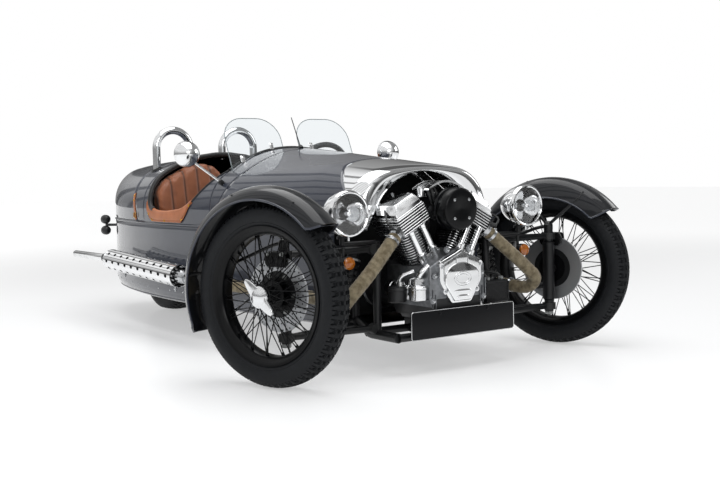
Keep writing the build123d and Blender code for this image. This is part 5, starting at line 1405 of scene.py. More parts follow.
core_block = moved(plate(rounded(0.108, 0.026, 0.002), 0.249, 0.321, 0), at(0.225, -0.1465, 0))
cooler_foot = moved(
    plate(rounded(0.013, 0.014, 0.002), 0.1655, 0.242, 0.001), at(0.2785, -0.147, 0))
piece("oil_cooler_core", [(joined(core_block, *cooler_fins), barrel_black),
    (joined(*tanks, *cheeks, cooler_foot), powder)], replaces=["oil_cooler"])

# %% [markdown]
# ## Exhausts
#
# Each pipe leaves its head forwards, dips, and runs back between the wheel and the body to the
# silencer. The wound tape is a saw-tooth on the pipe's radius that climbs with the angle as well
# as with the length, so its ridges are one helix, as the tape is.

# %% Wrapped pipes
port = bank_point(0.0803, 0.322)
SILENCER_START, SILENCER_END = np.array([0.562, 1.062, 0.313]), np.array([0.562, 2.045, 0.354])
silencer_way = (SILENCER_END - SILENCER_START) / np.linalg.norm(SILENCER_END - SILENCER_START)
pipe_corners = [(port[0], -0.090, port[1]), (0.384, -0.129, 0.395), (0.474, -0.134, 0.318),
    (0.474, -0.078, 0.272), (0.438, 0.060, 0.286), (0.430, 0.300, 0.284), (0.448, 0.700, 0.286),
    tuple(SILENCER_START - silencer_way * 0.095), tuple(SILENCER_START + silencer_way * 0.02)]


def even_line(points, step):
    """The same line with points a step apart, by interpolation on its length."""
    length = np.concatenate([[0], np.cumsum(np.linalg.norm(np.diff(points, axis=0), axis=1))])
    along = np.arange(0, length[-1], step)
    return np.stack([np.interp(along, length, points[:, axis]) for axis in range(3)], 1), along


pipe_line, along = even_line(bent_line(pipe_corners, 0.075, 14), 0.003)
wrap_end = int(np.searchsorted(along, along[-1] - 0.130))
round_pipe = np.linspace(0, 1, 20, endpoint=False)[None, :]
tape = 0.0255 + 0.0016 * np.mod(along[:wrap_end, None] / 0.024 + round_pipe, 1.0)
tape += 0.0003 * chance.standard_normal(tape.shape)
wrapped = tube(pipe_line[:wrap_end], tape, 20)
bare = tube(pipe_line[wrap_end - 2:], 0.0222, 28)
flange = moved(turned(mm((0, -4), (34, -4), (34, 6), (27, 8), (27, 18), (24.5, 20), (0, 20)), 32),
    facing(pipe_corners[0], np.array(pipe_corners[1]) - np.array(pipe_corners[0])))
clamp_ring = turned(mm((26.5, -6), (29.2, -6), (29.2, 6), (26.5, 6)), 32)
clamp_screw = moved(
    turned(mm((0, 0), (2.8, 0), (2.8, 22), (0, 22)), 10), at(-0.006, 0.031, 0.0) @ turn(90, "Y"))
clamp = joined(clamp_ring, clamp_screw)
clamps = [facing(pipe_line[index], pipe_line[index + 1] - pipe_line[index - 1])
    for index in (14, wrap_end // 3, wrap_end - 6)]
piece("exhaust_headers", [(both_sides(wrapped), wrap), (both_sides(joined(bare, flange)),
    stainless), (both_sides(repeated(clamp, clamps)), stainless)],
    replaces=["exhaust_pipes"], smooth=60)

# %% [markdown]
# The silencer wears a chromed heat shield, punched with rows of oval holes over a dark can. A
# punched sheet is a tiling: each tile is a rectangle with an oval hole, and rings of faces blend
# one outline into the other. The flat tiling is worked out once, then rolled round the can.

# %% Silencers
def punched(columns, rows, pitch_u, pitch_v, hole):
    """Tiles with oval holes in the (u, v) plane: each ring blends its rectangle into its oval."""
    corners, rings = 24, 4
    angle = np.arange(corners) * 2 * np.pi / corners
    circle = np.stack([np.cos(angle), np.sin(angle)], 1)
    square = circle / np.abs(circle).max(1, keepdims=True) * (pitch_u / 2, pitch_v / 2)
    blend = np.linspace(0, 1, rings)[:, None, None]
    tile = (square * (1 - blend) + circle * hole * blend).reshape(-1, 2)
    index = np.arange(corners)
    ring_faces = np.stack(
        [index, (index + 1) % corners, (index + 1) % corners + corners, index + corners], 1)
    faces = np.vstack([ring_faces + ring * corners for ring in range(rings - 1)])
    spots = [(column * pitch_u, row * pitch_v) for column in range(columns) for row in range(rows)]
    points = (tile[None] + np.array(spots)[:, None]).reshape(-1, 2)
    all_faces = faces[None] + np.arange(len(spots))[:, None, None] * len(tile)
    return points, all_faces.reshape(-1, 4).tolist()


CAN, HOLE, SHIELD_LENGTH, SHIELD_START = 0.0525, (0.0135, 0.0080), 0.800, 0.080
COLUMNS, ROWS = 10, 8
tile_u, tile_v = SHIELD_LENGTH / COLUMNS, 2 * np.pi * CAN / ROWS
flat, tiles = punched(COLUMNS, ROWS, tile_u, tile_v, HOLE)
can_frame = facing(tuple(SILENCER_START), tuple(silencer_way))
turn_round = flat[:, 1] / CAN
shield = (np.stack([CAN * np.cos(turn_round), CAN * np.sin(turn_round), flat[:, 0] + SHIELD_START
    + tile_u / 2], 1), tiles)
shield_ends = [turned([(CAN - 0.0016, low), (CAN + 0.0006, low), (CAN + 0.0006, high),
    (CAN - 0.0016, high)], 56) for low, high in ((0.072, 0.081), (0.879, 0.890))]
inner_can = turned(mm((22.5, 98), (34, 102), (40.5, 112), (42, 880), (52, 888), (36, 905),
    (24, 985), (19.5, 990), (0, 990)), 48)
front_cone = turned(mm((22.5, -20), (26.8, -12), (26.8, 30), (30, 34), (34.5, 110)), 48)
slots = [
    moved(plate(rounded(0.034, 0.0060, 0.0028), 0, 0.0016, 0), at(*polar(angle, 0.0325, 0.056))
    @ turn(angle, "Z") @ turn(92, "Y")) for angle in range(0, 360, 30)]
tip = np.array([0.530, 2.572, 0.348])
tail_way = tip - SILENCER_END
tail_length = np.linalg.norm(tail_way)
tail_pipe = moved(turned([(0.0193, -0.03), (0.0193, tail_length - 0.001), (0.0188, tail_length),
    (0.0168, tail_length), (0.0163, tail_length - 0.001), (0.0163, tail_length - 0.12),
    (0, tail_length - 0.12)], 40), facing(tuple(SILENCER_END), tuple(tail_way)))
band = joined(turned(mm((26.2, -14), (29.6, -14), (29.6, 8), (26.2, 8)), 36),
    moved(clamp_screw, at(0, 0.004, -0.003)))
hanger = turned(
    mm((0, -4), (4.2, -4), (4.2, 12), (8.5, 12), (8.5, 17), (4.2, 18), (4.2, 26), (0, 27)), 16)
brackets, bracket_bolts = [], []
for y in (1.200, 1.800):
    edge = max(half_width(y - 0.012), half_width(y + 0.012)) + 0.0003
    z = 0.318 + 0.036 * (y - 1.18) / 0.8
    brackets.append(moved(plate(
        rounded(0.518 - edge, 0.024, 0.004), -0.010, -0.004, 0.001), at((edge + 0.518) / 2, y, z)))
    brackets.append(moved(
        plate(rounded(0.030, 0.024, 0.004), 0, 0.004, 0.001), at(edge, y, z) @ turn(90, "Y")))
    bracket_bolts.append(at(0.556, y, z - 0.0535) @ turn(180, "X"))
    brackets.append(tube(bent_line(
        [(0.500, y, z - 0.007), (0.520, y, z - 0.040), (0.562, y, z - 0.0530)], 0.02), 0.0060, 8))
on_can = ((shield, chrome), (joined(*shield_ends), chrome), (joined(inner_can, *slots),
    barrel_black), (front_cone, stainless), (band, stainless))
piece("silencer_cans", [(both_sides(shape), chosen) for shape, chosen in (
    *placed(can_frame, *on_can), (tail_pipe, chrome), (joined(*brackets), powder),
    (repeated(hanger, bracket_bolts), stainless))],
    replaces=["silencers"], smooth=40)

# %% [markdown]
# ## Lamps, mirrors and screens
#
# A headlamp is a spun bowl in chrome with a rolled ring, a domed clear glass, and a bright
# parabola inside with a bulb at its focus. The glass is a closed lens with two faces, because a
# single sheet would not bend the light as glass does.

# %% Headlamps
LAMP = Vector((0.450, -0.109, 0.623))
rear_arc = three_point((0.084, -0.026), (0.0659, -0.093), (0.0, -0.150), 22)
bowl = turned(rear_arc, 72)
lamp_ring = turned(mm((74.5, -6), (76.5, -1), (80, 1), (84, 0), (87.5, -5), (89, -11), (89, -20),
    (87, -26), (83, -27), (74.5, -6)), 72)
dome = three_point((0.0765, -0.004), (0.054, 0.003), (0.0, 0.007), 14)
inside_dome = (dome - (0, 0.0028))[::-1]
lamp_lens = turned(np.vstack([dome, inside_dome]), 64)
depth = np.linspace(0, 1, 16)
reflector = turned(np.stack(
    [0.0745 - 0.0625 * depth, -0.0075 - 0.075 * depth ** 0.5 * depth ** 0.55], 1), 64)
bulb = turned(mm((0, -36), (5, -38), (7.5, -46), (7.5, -62), (5, -80), (0, -80)), 24)
bulb_cap = turned(mm((0, -29.5), (8, -31), (9, -39), (8, -40), (0, -36)), 24)
lamp_screw = moved(
    turned(mm((0, 0), (4, 0), (4, 12), (0, 12)), 12), at(0, -0.089, -0.016) @ turn(90, "X"))
mount = turned(mm((0, 0), (20, 0), (20, 10), (13, 14), (0, 14)), 24)
place = at(*LAMP) @ STAND
low = (0.450, -0.048, 0.506)
irons = joined(
    tube([(0.450, -0.048, 0.540), low], 0.0105, 16),
    tube(bent_line([low, (0.290, -0.031, 0.506), (0.281, -0.030, 0.506)], 0.01), 0.009, 14),
    moved(mount, at(0.450, -0.048, 0.528)),
    moved(turned(mm((0, 0), (16, 0), (16, 13), (0, 13)), 24), at(0.280, -0.030, 0.4965)))
lamp = moved(joined(bowl, lamp_ring, reflector, bulb_cap, lamp_screw), place)
piece("headlamp_shells", [(both_sides(lamp), chrome), (both_sides(moved(bulb, place)), filament),
    (both_sides(irons), powder)], replaces=["headlamps"])
piece("headlamp_glasses", [(both_sides(moved(lamp_lens, place)), lamp_glass)])

# %% Indicators, rear lamps and the number plate
small_body = turned(mm((0, -44), (12, -44), (22, -36), (25, -28), (25, -12), (23.5, -10)), 40)
small_lens = turned(mm((23.5, -10.5), (24.5, -6), (22.5, -1), (16, 2.2), (8, 3.5), (0, 4)), 40)
place = at(0.446, -0.094, 0.437) @ STAND
signal = joined(moved(small_body, place), tube(
    [(0.446, -0.048, 0.437), (0.446, -0.048, 0.4965)], 0.006, 12))
piece("indicator_lamps", [(both_sides(signal), plastic), (both_sides(moved(small_lens, place)),
    amber)], replaces=["front_indicators"])

tail_body = turned(mm((0, 26), (10, 25), (20, 18), (26.2, 6), (27, 0), (27, -20), (25.5, -22)), 40)
tail_lens = turned(mm((25.5, -21.5), (25, -24.5), (18, -25.8), (0, -26.2)), 40)
x, y = 0.258, TAIL + WIDEST - 0.059
lamp_places = [at(x, y, z) @ STAND for z in (0.528, 0.462)]
red_lamp, amber_lamp = [moved(tail_lens, place) for place in lamp_places]
holder = joined(*[moved(tail_body, place) for place in lamp_places], moved(
    plate(rounded(0.010, 0.018, 0.003), 0.470, 0.520, 0.002), at(x, y - 0.004, 0)),
    tube([(x, y - 0.004, 0.495), (float(half_width(2.720)) - 0.004, 2.702, 0.495)], 0.008, 14))
piece("tail_lamps", [(both_sides(holder), plastic), (both_sides(red_lamp), red_lens),
    (both_sides(amber_lamp), amber)], replaces=["rear_lamps"])

plate_line = rounded(0.520, 0.110, 0.010, 6)
plate_edge = tube(np.column_stack([plate_line[:, 0] * 0.9935, np.full(len(plate_line), -0.2183),
    0.193 + plate_line[:, 1] * 0.97]), 0.0012, 6, closed=True)
plate_bolts = [facing((x, -0.218, 0.232), (0, -1, 0)) for x in (-0.120, 0.120)]
piece("number_plate_blank", [
    (moved(plate(plate_line, 0.215, 0.218, 0.0006), at(0, 0, 0.193) @ STAND), plate_black),
    (plate_edge, polished), (repeated(screw, plate_bolts), plate_black)],
    replaces=["number_plate"])

# %% [markdown]
# The mirrors are chromed bullets on bent stalks. The hoops are bent from chromed tube and stand on
# rubber feet. The wind deflectors are sheets of clear acrylic with polished edges: an edge catches
# the light and is what the eye sees of a clear sheet, so it gets a painted highlight, a band of
# pale grey, mostly opaque acrylic.

# %% Mirrors and roll hoops
def deck(x, y):
    """Height of the upper body above a point (x, y): crown circle, then corner circle."""
    full, shoulder, rise, corner, flat, crown, bend = outline(y)
    x = np.abs(x)
    over = np.sqrt(np.clip(crown ** 2 - x ** 2, 0, None)) + shoulder + rise - crown
    round_corner = shoulder + np.sqrt(np.clip(corner ** 2 - (x - flat) ** 2, 0, None))
    return np.where(x < flat + corner * np.cos(bend), over, round_corner)


MIRROR_SIZE = 1.15          # the shell is a little larger than its core
bullet = MIRROR_SIZE * np.vstack([[(0.0, 0.046)], three_point((0.004, 0.0458), (0.036, 0.031),
    (0.0515, 0.0), 16), mm((52, -4), (52, -10), (50.8, -11.8), (47.5, -11.8), (47, -10))])
head = at(0.561, 1.021, 0.875) @ STAND
stalk = tube(bent_line(mm((553, 1013, 850), (535, 1008, 838), (402, 985, 737)), 0.02), 0.0058, 14)
mirror_disc = moved(turned(mm((54, -11.7), (0, -11.7)), 56), head)
knuckles = joined(moved(turned(mm((0, -9), (10.5, -9), (12, -6), (12, 12), (9, 16), (0, 16)), 20),
    facing((0.410, 0.987, 0.744), (0.133, 0.023, 0.101))),
    moved(turned(mm((0, 0), (8, 0), (8, 14), (0, 14)), 16), facing((0.541, 1.009, 0.842),
    (0.6, 0.1, 0.5))))
piece("mirror_heads", [
    (both_sides(joined(moved(turned(bullet, 56), head), stalk)), chrome),
    (both_sides(mirror_disc), mirror_glass), (both_sides(knuckles), plastic)],
    replaces=["mirrors"])

HOOP_TUBE, HOOP_HALF, HOOP_Y = 0.0205, 0.0985, 1.945
middle, turn_z = 0.196, 1.045 - HOOP_TUBE - HOOP_HALF
feet = [float(deck(middle + s * HOOP_HALF, HOOP_Y)) for s in (-1, 1)]
bend = np.linspace(math.pi, 0, 40)
hoop_line = np.vstack([[(middle - HOOP_HALF, HOOP_Y, z) for z in np.linspace(feet[0] - 0.004,
    turn_z - 0.002, 6)], np.stack([middle + HOOP_HALF * np.cos(bend), np.full(40, HOOP_Y),
    turn_z + HOOP_HALF * np.sin(bend)], 1), [(middle + HOOP_HALF, HOOP_Y, z)
    for z in np.linspace(turn_z - 0.002, feet[1] - 0.004, 6)]])
hoop_foot = turned(mm((0, -3), (33, -3), (33, 2.5), (30, 4), (24.5, 5), (24.2, 10)), 36)
hoop_feet = []
for s, foot in zip((-1, 1), feet):
    x = middle + s * HOOP_HALF
    fall = (float(deck(x + 0.01, HOOP_Y)) - float(deck(x - 0.01, HOOP_Y))) / 0.02
    hoop_feet.append(facing((x, HOOP_Y, foot), (-fall, 0.05, 1)))
piece("roll_hoop_tubes", [(both_sides(tube(hoop_line, HOOP_TUBE, 32)), chrome),
    (both_sides(repeated(hoop_foot, hoop_feet)), soft_rubber)],
    replaces=["roll_hoops"])

# %% Wind deflectors and the antenna
SCREEN_LEAN, SCREEN_X = math.radians(24), 0.196
screen_height = 0.242 / math.cos(SCREEN_LEAN)


def screen_foot(x):
    """Distance up the leaning sheet at which it leaves the scuttle, found in a few steps."""
    climb = np.full(np.shape(x), 0.08)
    for _ in range(20):
        climb = (deck(x, 1.0 + climb * math.sin(SCREEN_LEAN)) - 0.800) / math.cos(SCREEN_LEAN)
    return climb


# Painted highlight: the edge band is pale grey and only 0.2 clear, so it reads bright where clear
# acrylic would only catch the light.
edge_painted_highlight = finish(
    "acrylic edge with painted highlight", "#9aa5a9", Roughness=0.15, IOR=1.49, Transmission_Weight=0.2)
lean = Matrix(((1, 0, 0, SCREEN_X), (0, math.sin(SCREEN_LEAN), -math.cos(SCREEN_LEAN), 1.0),
    (0, math.cos(SCREEN_LEAN), math.sin(SCREEN_LEAN), 0.8), (0, 0, 0, 1)))
round_top = np.linspace(0, np.pi / 2, 14)
right_top = np.stack([
    0.040 + 0.110 * np.cos(round_top), screen_height - 0.110 + 0.110 * np.sin(round_top)], 1)
foot_x = np.linspace(-0.150, 0.150, 26)
bottom = np.stack([foot_x, screen_foot(SCREEN_X + foot_x) + 0.0015], 1)
line = np.vstack([bottom, right_top, (right_top * (-1, 1))[::-1]])
edge_line = np.vstack([line[25:], bottom[:1]])
edge_line = np.column_stack([edge_line, np.full(len(edge_line), 0.0025)])
screen_feet = []
for x in (-0.085, 0.085):
    low = float(screen_foot(SCREEN_X + x))
    screen_feet += [moved(plate(rounded(0.022, 0.034, 0.004), 0.0045, 0.008, 0.001),
        at(x, low + 0.016, 0)), moved(screw, at(x, low + 0.022, 0.008))]
piece("wind_deflectors", [
    (both_sides(moved(shape, lean)), chosen) for shape, chosen in
    ((plate(line, 0.0008, 0.0042, 0.0006, 1), acrylic), (tube(edge_line, 0.0021, 8), edge_painted_highlight),
     (joined(*screen_feet), polished))], replaces=["aero_screens"])
mast_foot = np.array([0, 0.957, float(deck(0.0, 0.957))])
mast_top = np.array([0, 1.036, 1.046])
mast_line = [mast_foot, mast_foot + (mast_top - mast_foot) * 0.3, mast_top]
mast_base = moved(turned(mm((0, -2), (13, -2), (13, 4), (9, 12), (4, 16), (0, 16)), 24),
    facing(mast_foot, mast_top - mast_foot))
piece("antenna_mast", [(tube(mast_line, [0.0032, 0.0026, 0.0022], 10), plastic),
    (mast_base, plastic)], replaces=["antenna"])

# %% [markdown]
# ## The cockpit
#
# A thick padded roll in black hide runs round the rear of the opening, and a rubber edge over the
# scuttle. Where the elbows rest, saddle leather is stretched over the side, stitched along its
# border and pinned at its corners with brass studs.

# %% Coaming and edges
roll_y = np.linspace(1.640, COCKPIT_REAR, 40)
roll_t = height_to_t(roll_y, dip_edge(roll_y))
right_roll = skin(roll_y, -roll_t, narrow=0.004, lower=0.004)
top_t = np.concatenate(
    [-np.linspace(roll_t[-1], 3, 24)[1:-1], np.linspace(3, roll_t[-1], 24)[:-1]])
top_roll = skin(np.full(len(top_t), COCKPIT_REAR), top_t, narrow=0.004, lower=0.004)
left_roll = (right_roll * (-1, 1, 1))[::-1]
roll_line = np.vstack([right_roll, top_roll, left_roll])
roll_line, along = even_line(roll_line, 0.008)
roll_line = roll_line + (0, -0.008, 0)
wrinkle = 0.0125 + 0.0004 * np.sin(along / 0.013) * chance.uniform(0.2, 1.0, len(along))
front_t = float(height_to_t(COCKPIT_FRONT, 0.800))
scuttle_t = np.concatenate([-np.linspace(front_t, 3, 40), np.linspace(3, front_t, 40)[1:]])
scuttle_edge = skin(np.full(len(scuttle_t), 1.042), scuttle_t)
dip_front = np.linspace(1.042, 1.236, 30)
side_edge = skin(dip_front, -height_to_t(dip_front, dip_edge(dip_front)))
piece("cockpit_padding", [
    (tube(roll_line, wrinkle, 18), black_hide), (tube(scuttle_edge, 0.0075, 12), soft_rubber),
    (both_sides(tube(side_edge, 0.0045, 10)), soft_rubber)],
    replaces=["cockpit_rim"], smooth=60)

# %% Elbow leathers
trim_y = np.concatenate([np.linspace(1.214, 1.300, 24)[:-1], np.linspace(1.300, 1.640, 50)[:-1],
    np.linspace(1.640, 1.700, 18)])
trim_low = np.interp(
    trim_y, [1.214, 1.286, 1.316, 1.640, 1.676, 1.700], [0.652, 0.578, 0.556, 0.556, 0.572, 0.600])
trim_high = dip_edge(trim_y)
trim_low = np.minimum(trim_low, trim_high - 0.004)
share = np.linspace(0, 1, 18)[None, :]
heights = trim_low[:, None] + (trim_high - trim_low)[:, None] * share
puff = 0.0045 + 0.003 * np.sin(np.pi * share) ** 0.5 * np.ones_like(heights)
places = height_to_t(trim_y[:, None], heights)
patch = skin(trim_y[:, None], -places)
patch[..., 0] -= puff
patch_in = skin(trim_y[:, None], -places)
patch_in[..., 0] += 0.011
over_edge = skin(trim_y, -height_to_t(trim_y, trim_high)) + (0.004, 0, 0.001)
roll_over = tube(over_edge, 0.0105, 16)
border = np.vstack([patch[:, 0], patch[-1, 1:-1]])
welt = tube(border, 0.0026, 8)
thread_line, _ = even_line(np.vstack([patch[2:-2, 2]]), 0.007)
thread = joined(*[tube([a, b], 0.0007, 5) for a, b in zip(thread_line[:-1] - (0.0016, 0, 0),
    thread_line[:-1] * 0.45 + thread_line[1:] * 0.55 - (0.0016, 0, 0))])
stud = turned(mm((6.8, -1), (6.4, 1.2), (4.5, 3), (2, 3.8), (0, 4)), 16)
stud_spots = [(4, 3), (24, 2), (50, 2), (72, 2), (84, 4)]
studs = [facing(patch[row, column], (-1, 0, 0.1)) for row, column in stud_spots]
piece("elbow_leathers", [
    (both_sides(joined(sheet(patch), sheet(patch_in[:, ::-1]))), tan_hide),
    (both_sides(joined(roll_over, welt)), tan_hide), (both_sides(thread), seam_thread),
    (both_sides(repeated(stud, studs)), brass)],
    replaces=["elbow_trims"], closed=False, smooth=60)

# %% [markdown]
# The boot lid is held by a leather strap and a brass buckle at each side.

# %% Lid straps
strap_v = np.linspace(0, 1, 24)
strap_y, strap_z = 1.931 - 0.043 * strap_v, 0.692 - 0.136 * strap_v
strap_u = np.linspace(-0.011, 0.011, 5)
strap_grid = skin(strap_y[:, None] + strap_u[None] * 0.95, -height_to_t(
    strap_y[:, None], strap_z[:, None] - strap_u[None] * 0.3))
strap_outer = strap_grid - (0.0048, 0, 0)
strap_inner = (strap_grid - (0.0008, 0, 0))[:, ::-1]
strap_shell = capped(sheet(np.concatenate([strap_outer, strap_inner], 1), wrap_columns=True), 10)
buckle_at = strap_outer[19, 2]
buckle = tube(
    np.column_stack([rounded(0.034, 0.026, 0.005, 4), np.zeros(16)]), 0.0022, 8, closed=True)
prong = tube(mm((0, 13, 1), (0, 0, 3), (0, -13, 2)), 0.0016, 8)
buckle_place = facing(buckle_at - (0.002, 0, 0), (-1, 0.1, 0.05), 0)
strap_pin = [facing(strap_outer[row, 2], (-1, 0.1, 0.1)) for row in (2, 6)]
piece("lid_straps", [
    (both_sides(strap_shell), tan_hide),
    (both_sides(moved(joined(buckle, prong), buckle_place)), brass),
    (both_sides(repeated(stud, strap_pin)), brass)], body="boot_lid", smooth=60)

# %% [markdown]
# ## Seats
#
# The seats are hide over foam, sewn in upright pleats. The cover is a bag that the foam fills, so
# the shape is found as the real one is: a slack bag of the right outline is blown up by cloth
# simulation under pressure until its sides are tight. The pleats are sewn in afterwards: along each
# seam the surface sinks as a narrow bell curve across it, and the hide's colour is darkened in the
# fold as painted shade. The folds lie a fixed width apart, so their place comes from the X axis.

# %% Blow up a pad
PRESSURE, VOXEL, SLACK, FRAMES = 4.0, 0.006, 0.004, 20


def vertices(mesh, what="co"):
    """The places or normals of a mesh's vertices, as an array of shape (vertices, 3)."""
    values = np.empty(len(mesh.vertices) * 3)
    mesh.vertices.foreach_get(what, values)
    return values.reshape(-1, 3)


def blown(name, source, cap):
    """A welded copy of a plain solid, remeshed, blown up as cloth, its movement capped."""
    mesh = frame["nodes"][source].data.copy()
    made = bpy.data.objects.new(name, mesh)
    studio.collection.objects.link(made)
    work = bmesh.new()
    work.from_mesh(mesh)
    bmesh.ops.remove_doubles(work, verts=work.verts, dist=1e-5)
    bmesh.ops.recalc_face_normals(work, faces=work.faces)
    work.to_mesh(mesh)
    work.free()
    remesh = made.modifiers.new("voxels", "REMESH")
    remesh.mode = "VOXEL"
    remesh.voxel_size = VOXEL
    graph = bpy.context.evaluated_depsgraph_get()
    fine = bpy.data.meshes.new_from_object(made.evaluated_get(graph))
    made.modifiers.clear()
    made.data = fine
    base = vertices(fine) - vertices(fine, "normal") * SLACK
    fine.vertices.foreach_set("co", base.ravel())
    cloth = made.modifiers.new("cover", "CLOTH")
    cloth.settings.quality = 4
    cloth.settings.use_pressure = True
    cloth.settings.uniform_pressure_force = PRESSURE
    cloth.settings.effector_weights.gravity = 0.0
    cloth.point_cache.frame_start, cloth.point_cache.frame_end = 1, FRAMES
    for number in range(1, FRAMES + 1):
        studio.frame_set(number)
    graph = bpy.context.evaluated_depsgraph_get()
    shift = vertices(made.evaluated_get(graph).data) - base
    length = np.linalg.norm(shift, axis=1, keepdims=True)
    shift *= np.minimum(1.0, cap / np.maximum(length, 1e-9))
    made.modifiers.clear()
    studio.frame_set(1)
    fine.vertices.foreach_set("co", (base + shift).ravel())
    print(name, "moved", round(float(np.abs(shift).max()) * 1000, 1), "mm")
    fine.update()
    return made


def sew(made, across, seams, depth, width, front):
    """Sinks the front of a pad by depth * exp(-(distance / width) squared) along each seam."""
    mesh = made.data
    place, normal = vertices(mesh), vertices(mesh, "normal")
    facing_front = np.clip(normal @ np.array(front) * 2.0, 0, 1)
    distance = np.min(np.abs(np.abs(place[:, across])[:, None] - np.array(seams)[None]), 1)
    sink = depth * (np.exp(-(distance / width) ** 2) - 0.25) * facing_front
    mesh.vertices.foreach_set("co", (place - normal * sink[:, None]).ravel())
    mesh.update()


def dress(made, name):
    """Leather, smooth shading and one subdivision; the pad replaces its plain solid."""
    made.data.materials.clear()
    made.data.materials.append(seat_hide)
    made.data.shade_smooth()
    soft = made.modifiers.new("smooth", "SUBSURF")
    soft.levels = soft.render_levels = 1
    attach(made, RIDE)
    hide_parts(name)


PLEAT = 0.076
SEAT_SEAMS = [0.226 + PLEAT * step for step in (-2.5, -1.5, -0.5, 0.5, 1.5, 2.5)]
# Painted shade in the pleat folds: close to each seam the hide's colour is scaled down to 0.28 of
# itself, where the fold would lie in shadow.
seam_tree = seat_hide.node_tree
drift = seam_tree.nodes["Principled BSDF"].inputs["Base Color"].links[0].from_node
across_seat = add(seam_tree, "Math", {0: add(
    seam_tree, "SeparateXYZ", {0: place_on(seam_tree)}).outputs["X"]},
    operation="ABSOLUTE")
from_first = add(
    seam_tree, "Math", {0: across_seat, 1: SEAT_SEAMS[0] - PLEAT / 2}, operation="SUBTRACT")
folded = add(seam_tree, "Math", {0: from_first, 1: PLEAT / 2}, operation="PINGPONG")
seam_painted_shade = add(seam_tree, "MapRange", {"Value": folded, "From Min": PLEAT / 2 - 0.0075,
    "From Max": PLEAT / 2 - 0.0008, "To Min": 1.0, "To Max": 0.28})
shaded = add(seam_tree, "VectorMath", {0: drift, "Scale": seam_painted_shade}, operation="SCALE")
feed(seat_hide, shaded, "Base Color")
backs = blown("seat_back_pads", "seat_backs", 0.010)
sew(backs, 0, SEAT_SEAMS, 0.008, 0.007, (0, -1, 0.17))
dress(backs, "seat_backs")
pads = blown("seat_cushion_pads", "seat_cushions", 0.010)
sew(pads, 0, SEAT_SEAMS, 0.007, 0.007, (0, 0, 1))
dress(pads, "seat_cushions")

# %% [markdown]
# The dash is a padded black panel with two round gauges and a row of switches. The steering wheel
# has a leather grip on four drilled spokes, which meet at a boss with six bolts.

# %% Dash
gauge = turned(mm((0, 0), (44, 0), (46, 2), (46, 8), (43, 11), (40.5, 9), (40.5, 6)), 48)
face_disc = turned(mm((40.5, 6.2), (0, 6.2)), 48)
ticks = [moved(plate(mm((-0.6, 31), (0.6, 31), (0.6, 38), (-0.6, 38)), 0.0062, 0.0067, 0),
    turn(angle, "Z")) for angle in range(-135, 136, 15)]
needle = moved(
    plate(mm((-1.2, -8), (1.2, -8), (0.4, 34), (-0.4, 34)), 0.0075, 0.0083, 0), turn(70, "Z"))
toggle = joined(turned(mm((0, 0), (9, 0), (9, 3), (5, 5), (0, 5)), 20), moved(
    turned(mm((2, 4), (3.5, 20), (0, 22)), 12), turn(18, "X")))


def on_dash(x, z):
    """A place on the rear face of the dash panel, local Z towards the driver."""
    return Matrix(((-1, 0, 0, x), (0, 0, 1, 1.0300), (0, 1, 0, z), (0, 0, 0, 1)))


gauge_spots = [on_dash(0.215, 0.800), on_dash(0.0, 0.785)]
toggle_spots = [on_dash(x, 0.715) for x in (-0.10, -0.06, -0.02, 0.02, 0.06, 0.10)]
piece("dash_fittings", [
    (repeated(gauge, gauge_spots), chrome), (repeated(face_disc, gauge_spots), dial_face),
    (repeated(joined(*ticks, needle), gauge_spots), plastic),
    (repeated(toggle, toggle_spots), chrome)])

# %% Steering wheel
column = Vector((0, math.cos(math.radians(20)), math.sin(math.radians(20))))
wheel_place = facing((0.215, 1.120, 0.775), column)
grip_angle = np.linspace(0, 2 * np.pi, 120, endpoint=False)
grip_line = np.stack([0.151 * np.cos(grip_angle), 0.151 * np.sin(grip_angle), np.zeros(120)], 1)
grip = tube(grip_line, 0.0138 - 0.0005 * (np.arange(120) % 2), 20, closed=True)
spoke_blades = []
for step in range(4):
    flat, tiles = punched(4, 1, 0.026, 0.022, 0.0062)
    blade = (np.column_stack([flat + (0.047, 0), 0.0 * flat[:, :1] - 0.0015]), tiles)
    for lift in (0.0, -0.0035):
        spoke_blades.append(moved(blade, turn(45 + 90 * step, "Z") @ at(0, 0, lift)))
boss_form = turned(mm((0, -28), (26, -28), (28, -12), (34, -6), (36, -1), (34, 1), (0, 1)), 40)
horn = turned(mm((20, 1), (19, 5), (12, 8), (0, 9)), 32)
boss_bolts = [at(*polar(angle, 0.0275, 0.0)) for angle in range(0, 360, 60)]
tiny_bolt = moved(bolt_head, Matrix.Diagonal((0.5, 0.5, 0.4, 1)))
piece("steering_wheel_rim", placed(
    wheel_place, (grip, black_hide), (joined(*spoke_blades), polished), (boss_form, polished),
    (repeated(tiny_bolt, boss_bolts), stainless), (horn, plastic)),
    body="steering_wheel", replaces=["steering_wheel"], closed=False)

# %% [markdown]
# ## Under the body
#
# Coil springs stand round the dampers. A spring is a helix: a point turns round the damper's axis
# while it climbs, with closer turns at both ends. Rubber bushes dress the arms, whose tubes come
# from the frame.

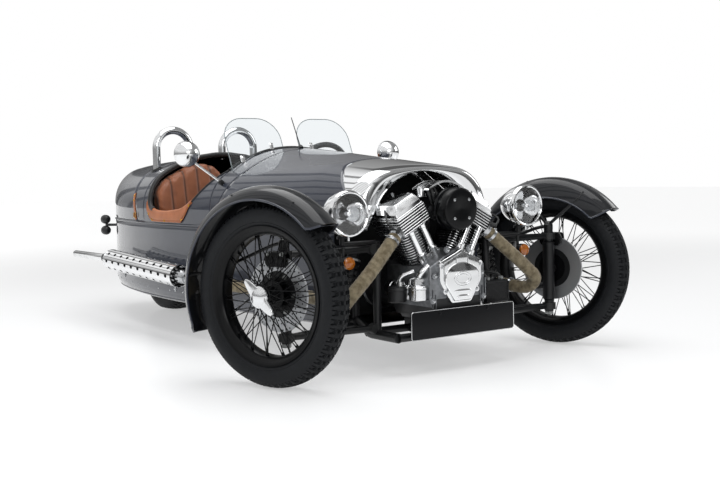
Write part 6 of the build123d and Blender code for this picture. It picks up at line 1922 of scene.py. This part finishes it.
# %% Springs and suspension details
coil_parts, damper_parts, bush_parts = [], [], []
for side in (1, -1):
    low, high = Vector((side * 0.415, 0.045, 0.176)), Vector((side * 0.332, 0.045, 0.476))
    place = facing(low, high - low)
    length = (high - low).length
    spin = np.linspace(0, 2 * np.pi * 8.5, 340)
    climb = np.linspace(0, 1, 340)
    climb = 0.070 + (length - 0.110) * (climb + 0.035 * np.sin(2 * np.pi * climb) * -1)
    coil_parts.append(moved(
        tube(np.stack([0.029 * np.cos(spin), 0.029 * np.sin(spin), climb], 1), 0.0048, 10), place))
    damper_parts.append(moved(turned([
        (0, 0.0), (0.014, 0.0), (0.014, 0.030), (0.022, 0.034), (0.022, 0.058), (0.034, 0.060),
        (0.034, 0.066), (0.022, 0.068), (0.022, 0.170), (0.010, 0.172), (0.010, length - 0.045),
        (0.034, length - 0.042), (0.034, length - 0.036), (0.018, length - 0.030),
        (0.014, length), (0, length)], 28), place))
    for arm_z in (0.172, 0.480):
        for tower_y in (-0.030, 0.120):
            bush_parts.append(moved(turned(mm((0, -15), (19, -15), (21, -10), (21, 10), (19, 15),
                (0, 15)), 24), at(side * 0.2985, tower_y * 0.96, arm_z) @ turn(90, "X")))
        bush_parts.append(moved(turned(mm((20.5, -14.5), (29.5, -14), (29.5, 14), (20.5, 14.5)),
            28), at(side * 0.6744, 0, arm_z)))
piece("coil_springs", [(joined(*coil_parts), stove_black), (joined(*damper_parts), zinc),
    (joined(*bush_parts), soft_rubber)])

# %% Rear tyre
rear_place = Matrix(((0, 0, 1, 0), (1, 0, 0, REAR_AXLE_Y), (0, 1, 0, 0.310), (0, 0, 0, 1)))
rear_section = tyre(
    0.310, 0.0975, 0.0777, 0.214, 0.2025, 0.012, 0.014, 56, 0.006, (0.0, 0.36, 0.70), 0.74)
piece("tyre_rear", [(moved(rear_section, rear_place), rubber)], body="wheel_rear",
      replaces=["rear_tyre"], smooth=25)

# %% [markdown]
# The frame's own solids that still show are plain tubes, walls and panels. They keep their shape
# and get the finish that the real part has.

# %% Finishes for the frame's own parts
DRESSED = {"chassis_frame": powder, "front_suspension": powder, "firewall_tunnel": carpet,
    "dashboard": black_hide, "rear_wheel": stove_black, "swingarm": powder,
    "rear_wheel_arch": underseal}
for name, chosen in DRESSED.items():
    node = frame["nodes"][name]
    node.data.materials.clear()
    node.data.materials.append(chosen)
    node.data.polygons.foreach_set("material_index", np.zeros(len(node.data.polygons), np.int32))
print(len(DRESSED), "of the frame's solids dressed")

# %% Parts of the frame that still show, and the end
shown = [name for name, made in frame["nodes"].items() if not made.hide_render]
print("carried over:", ", ".join(shown))
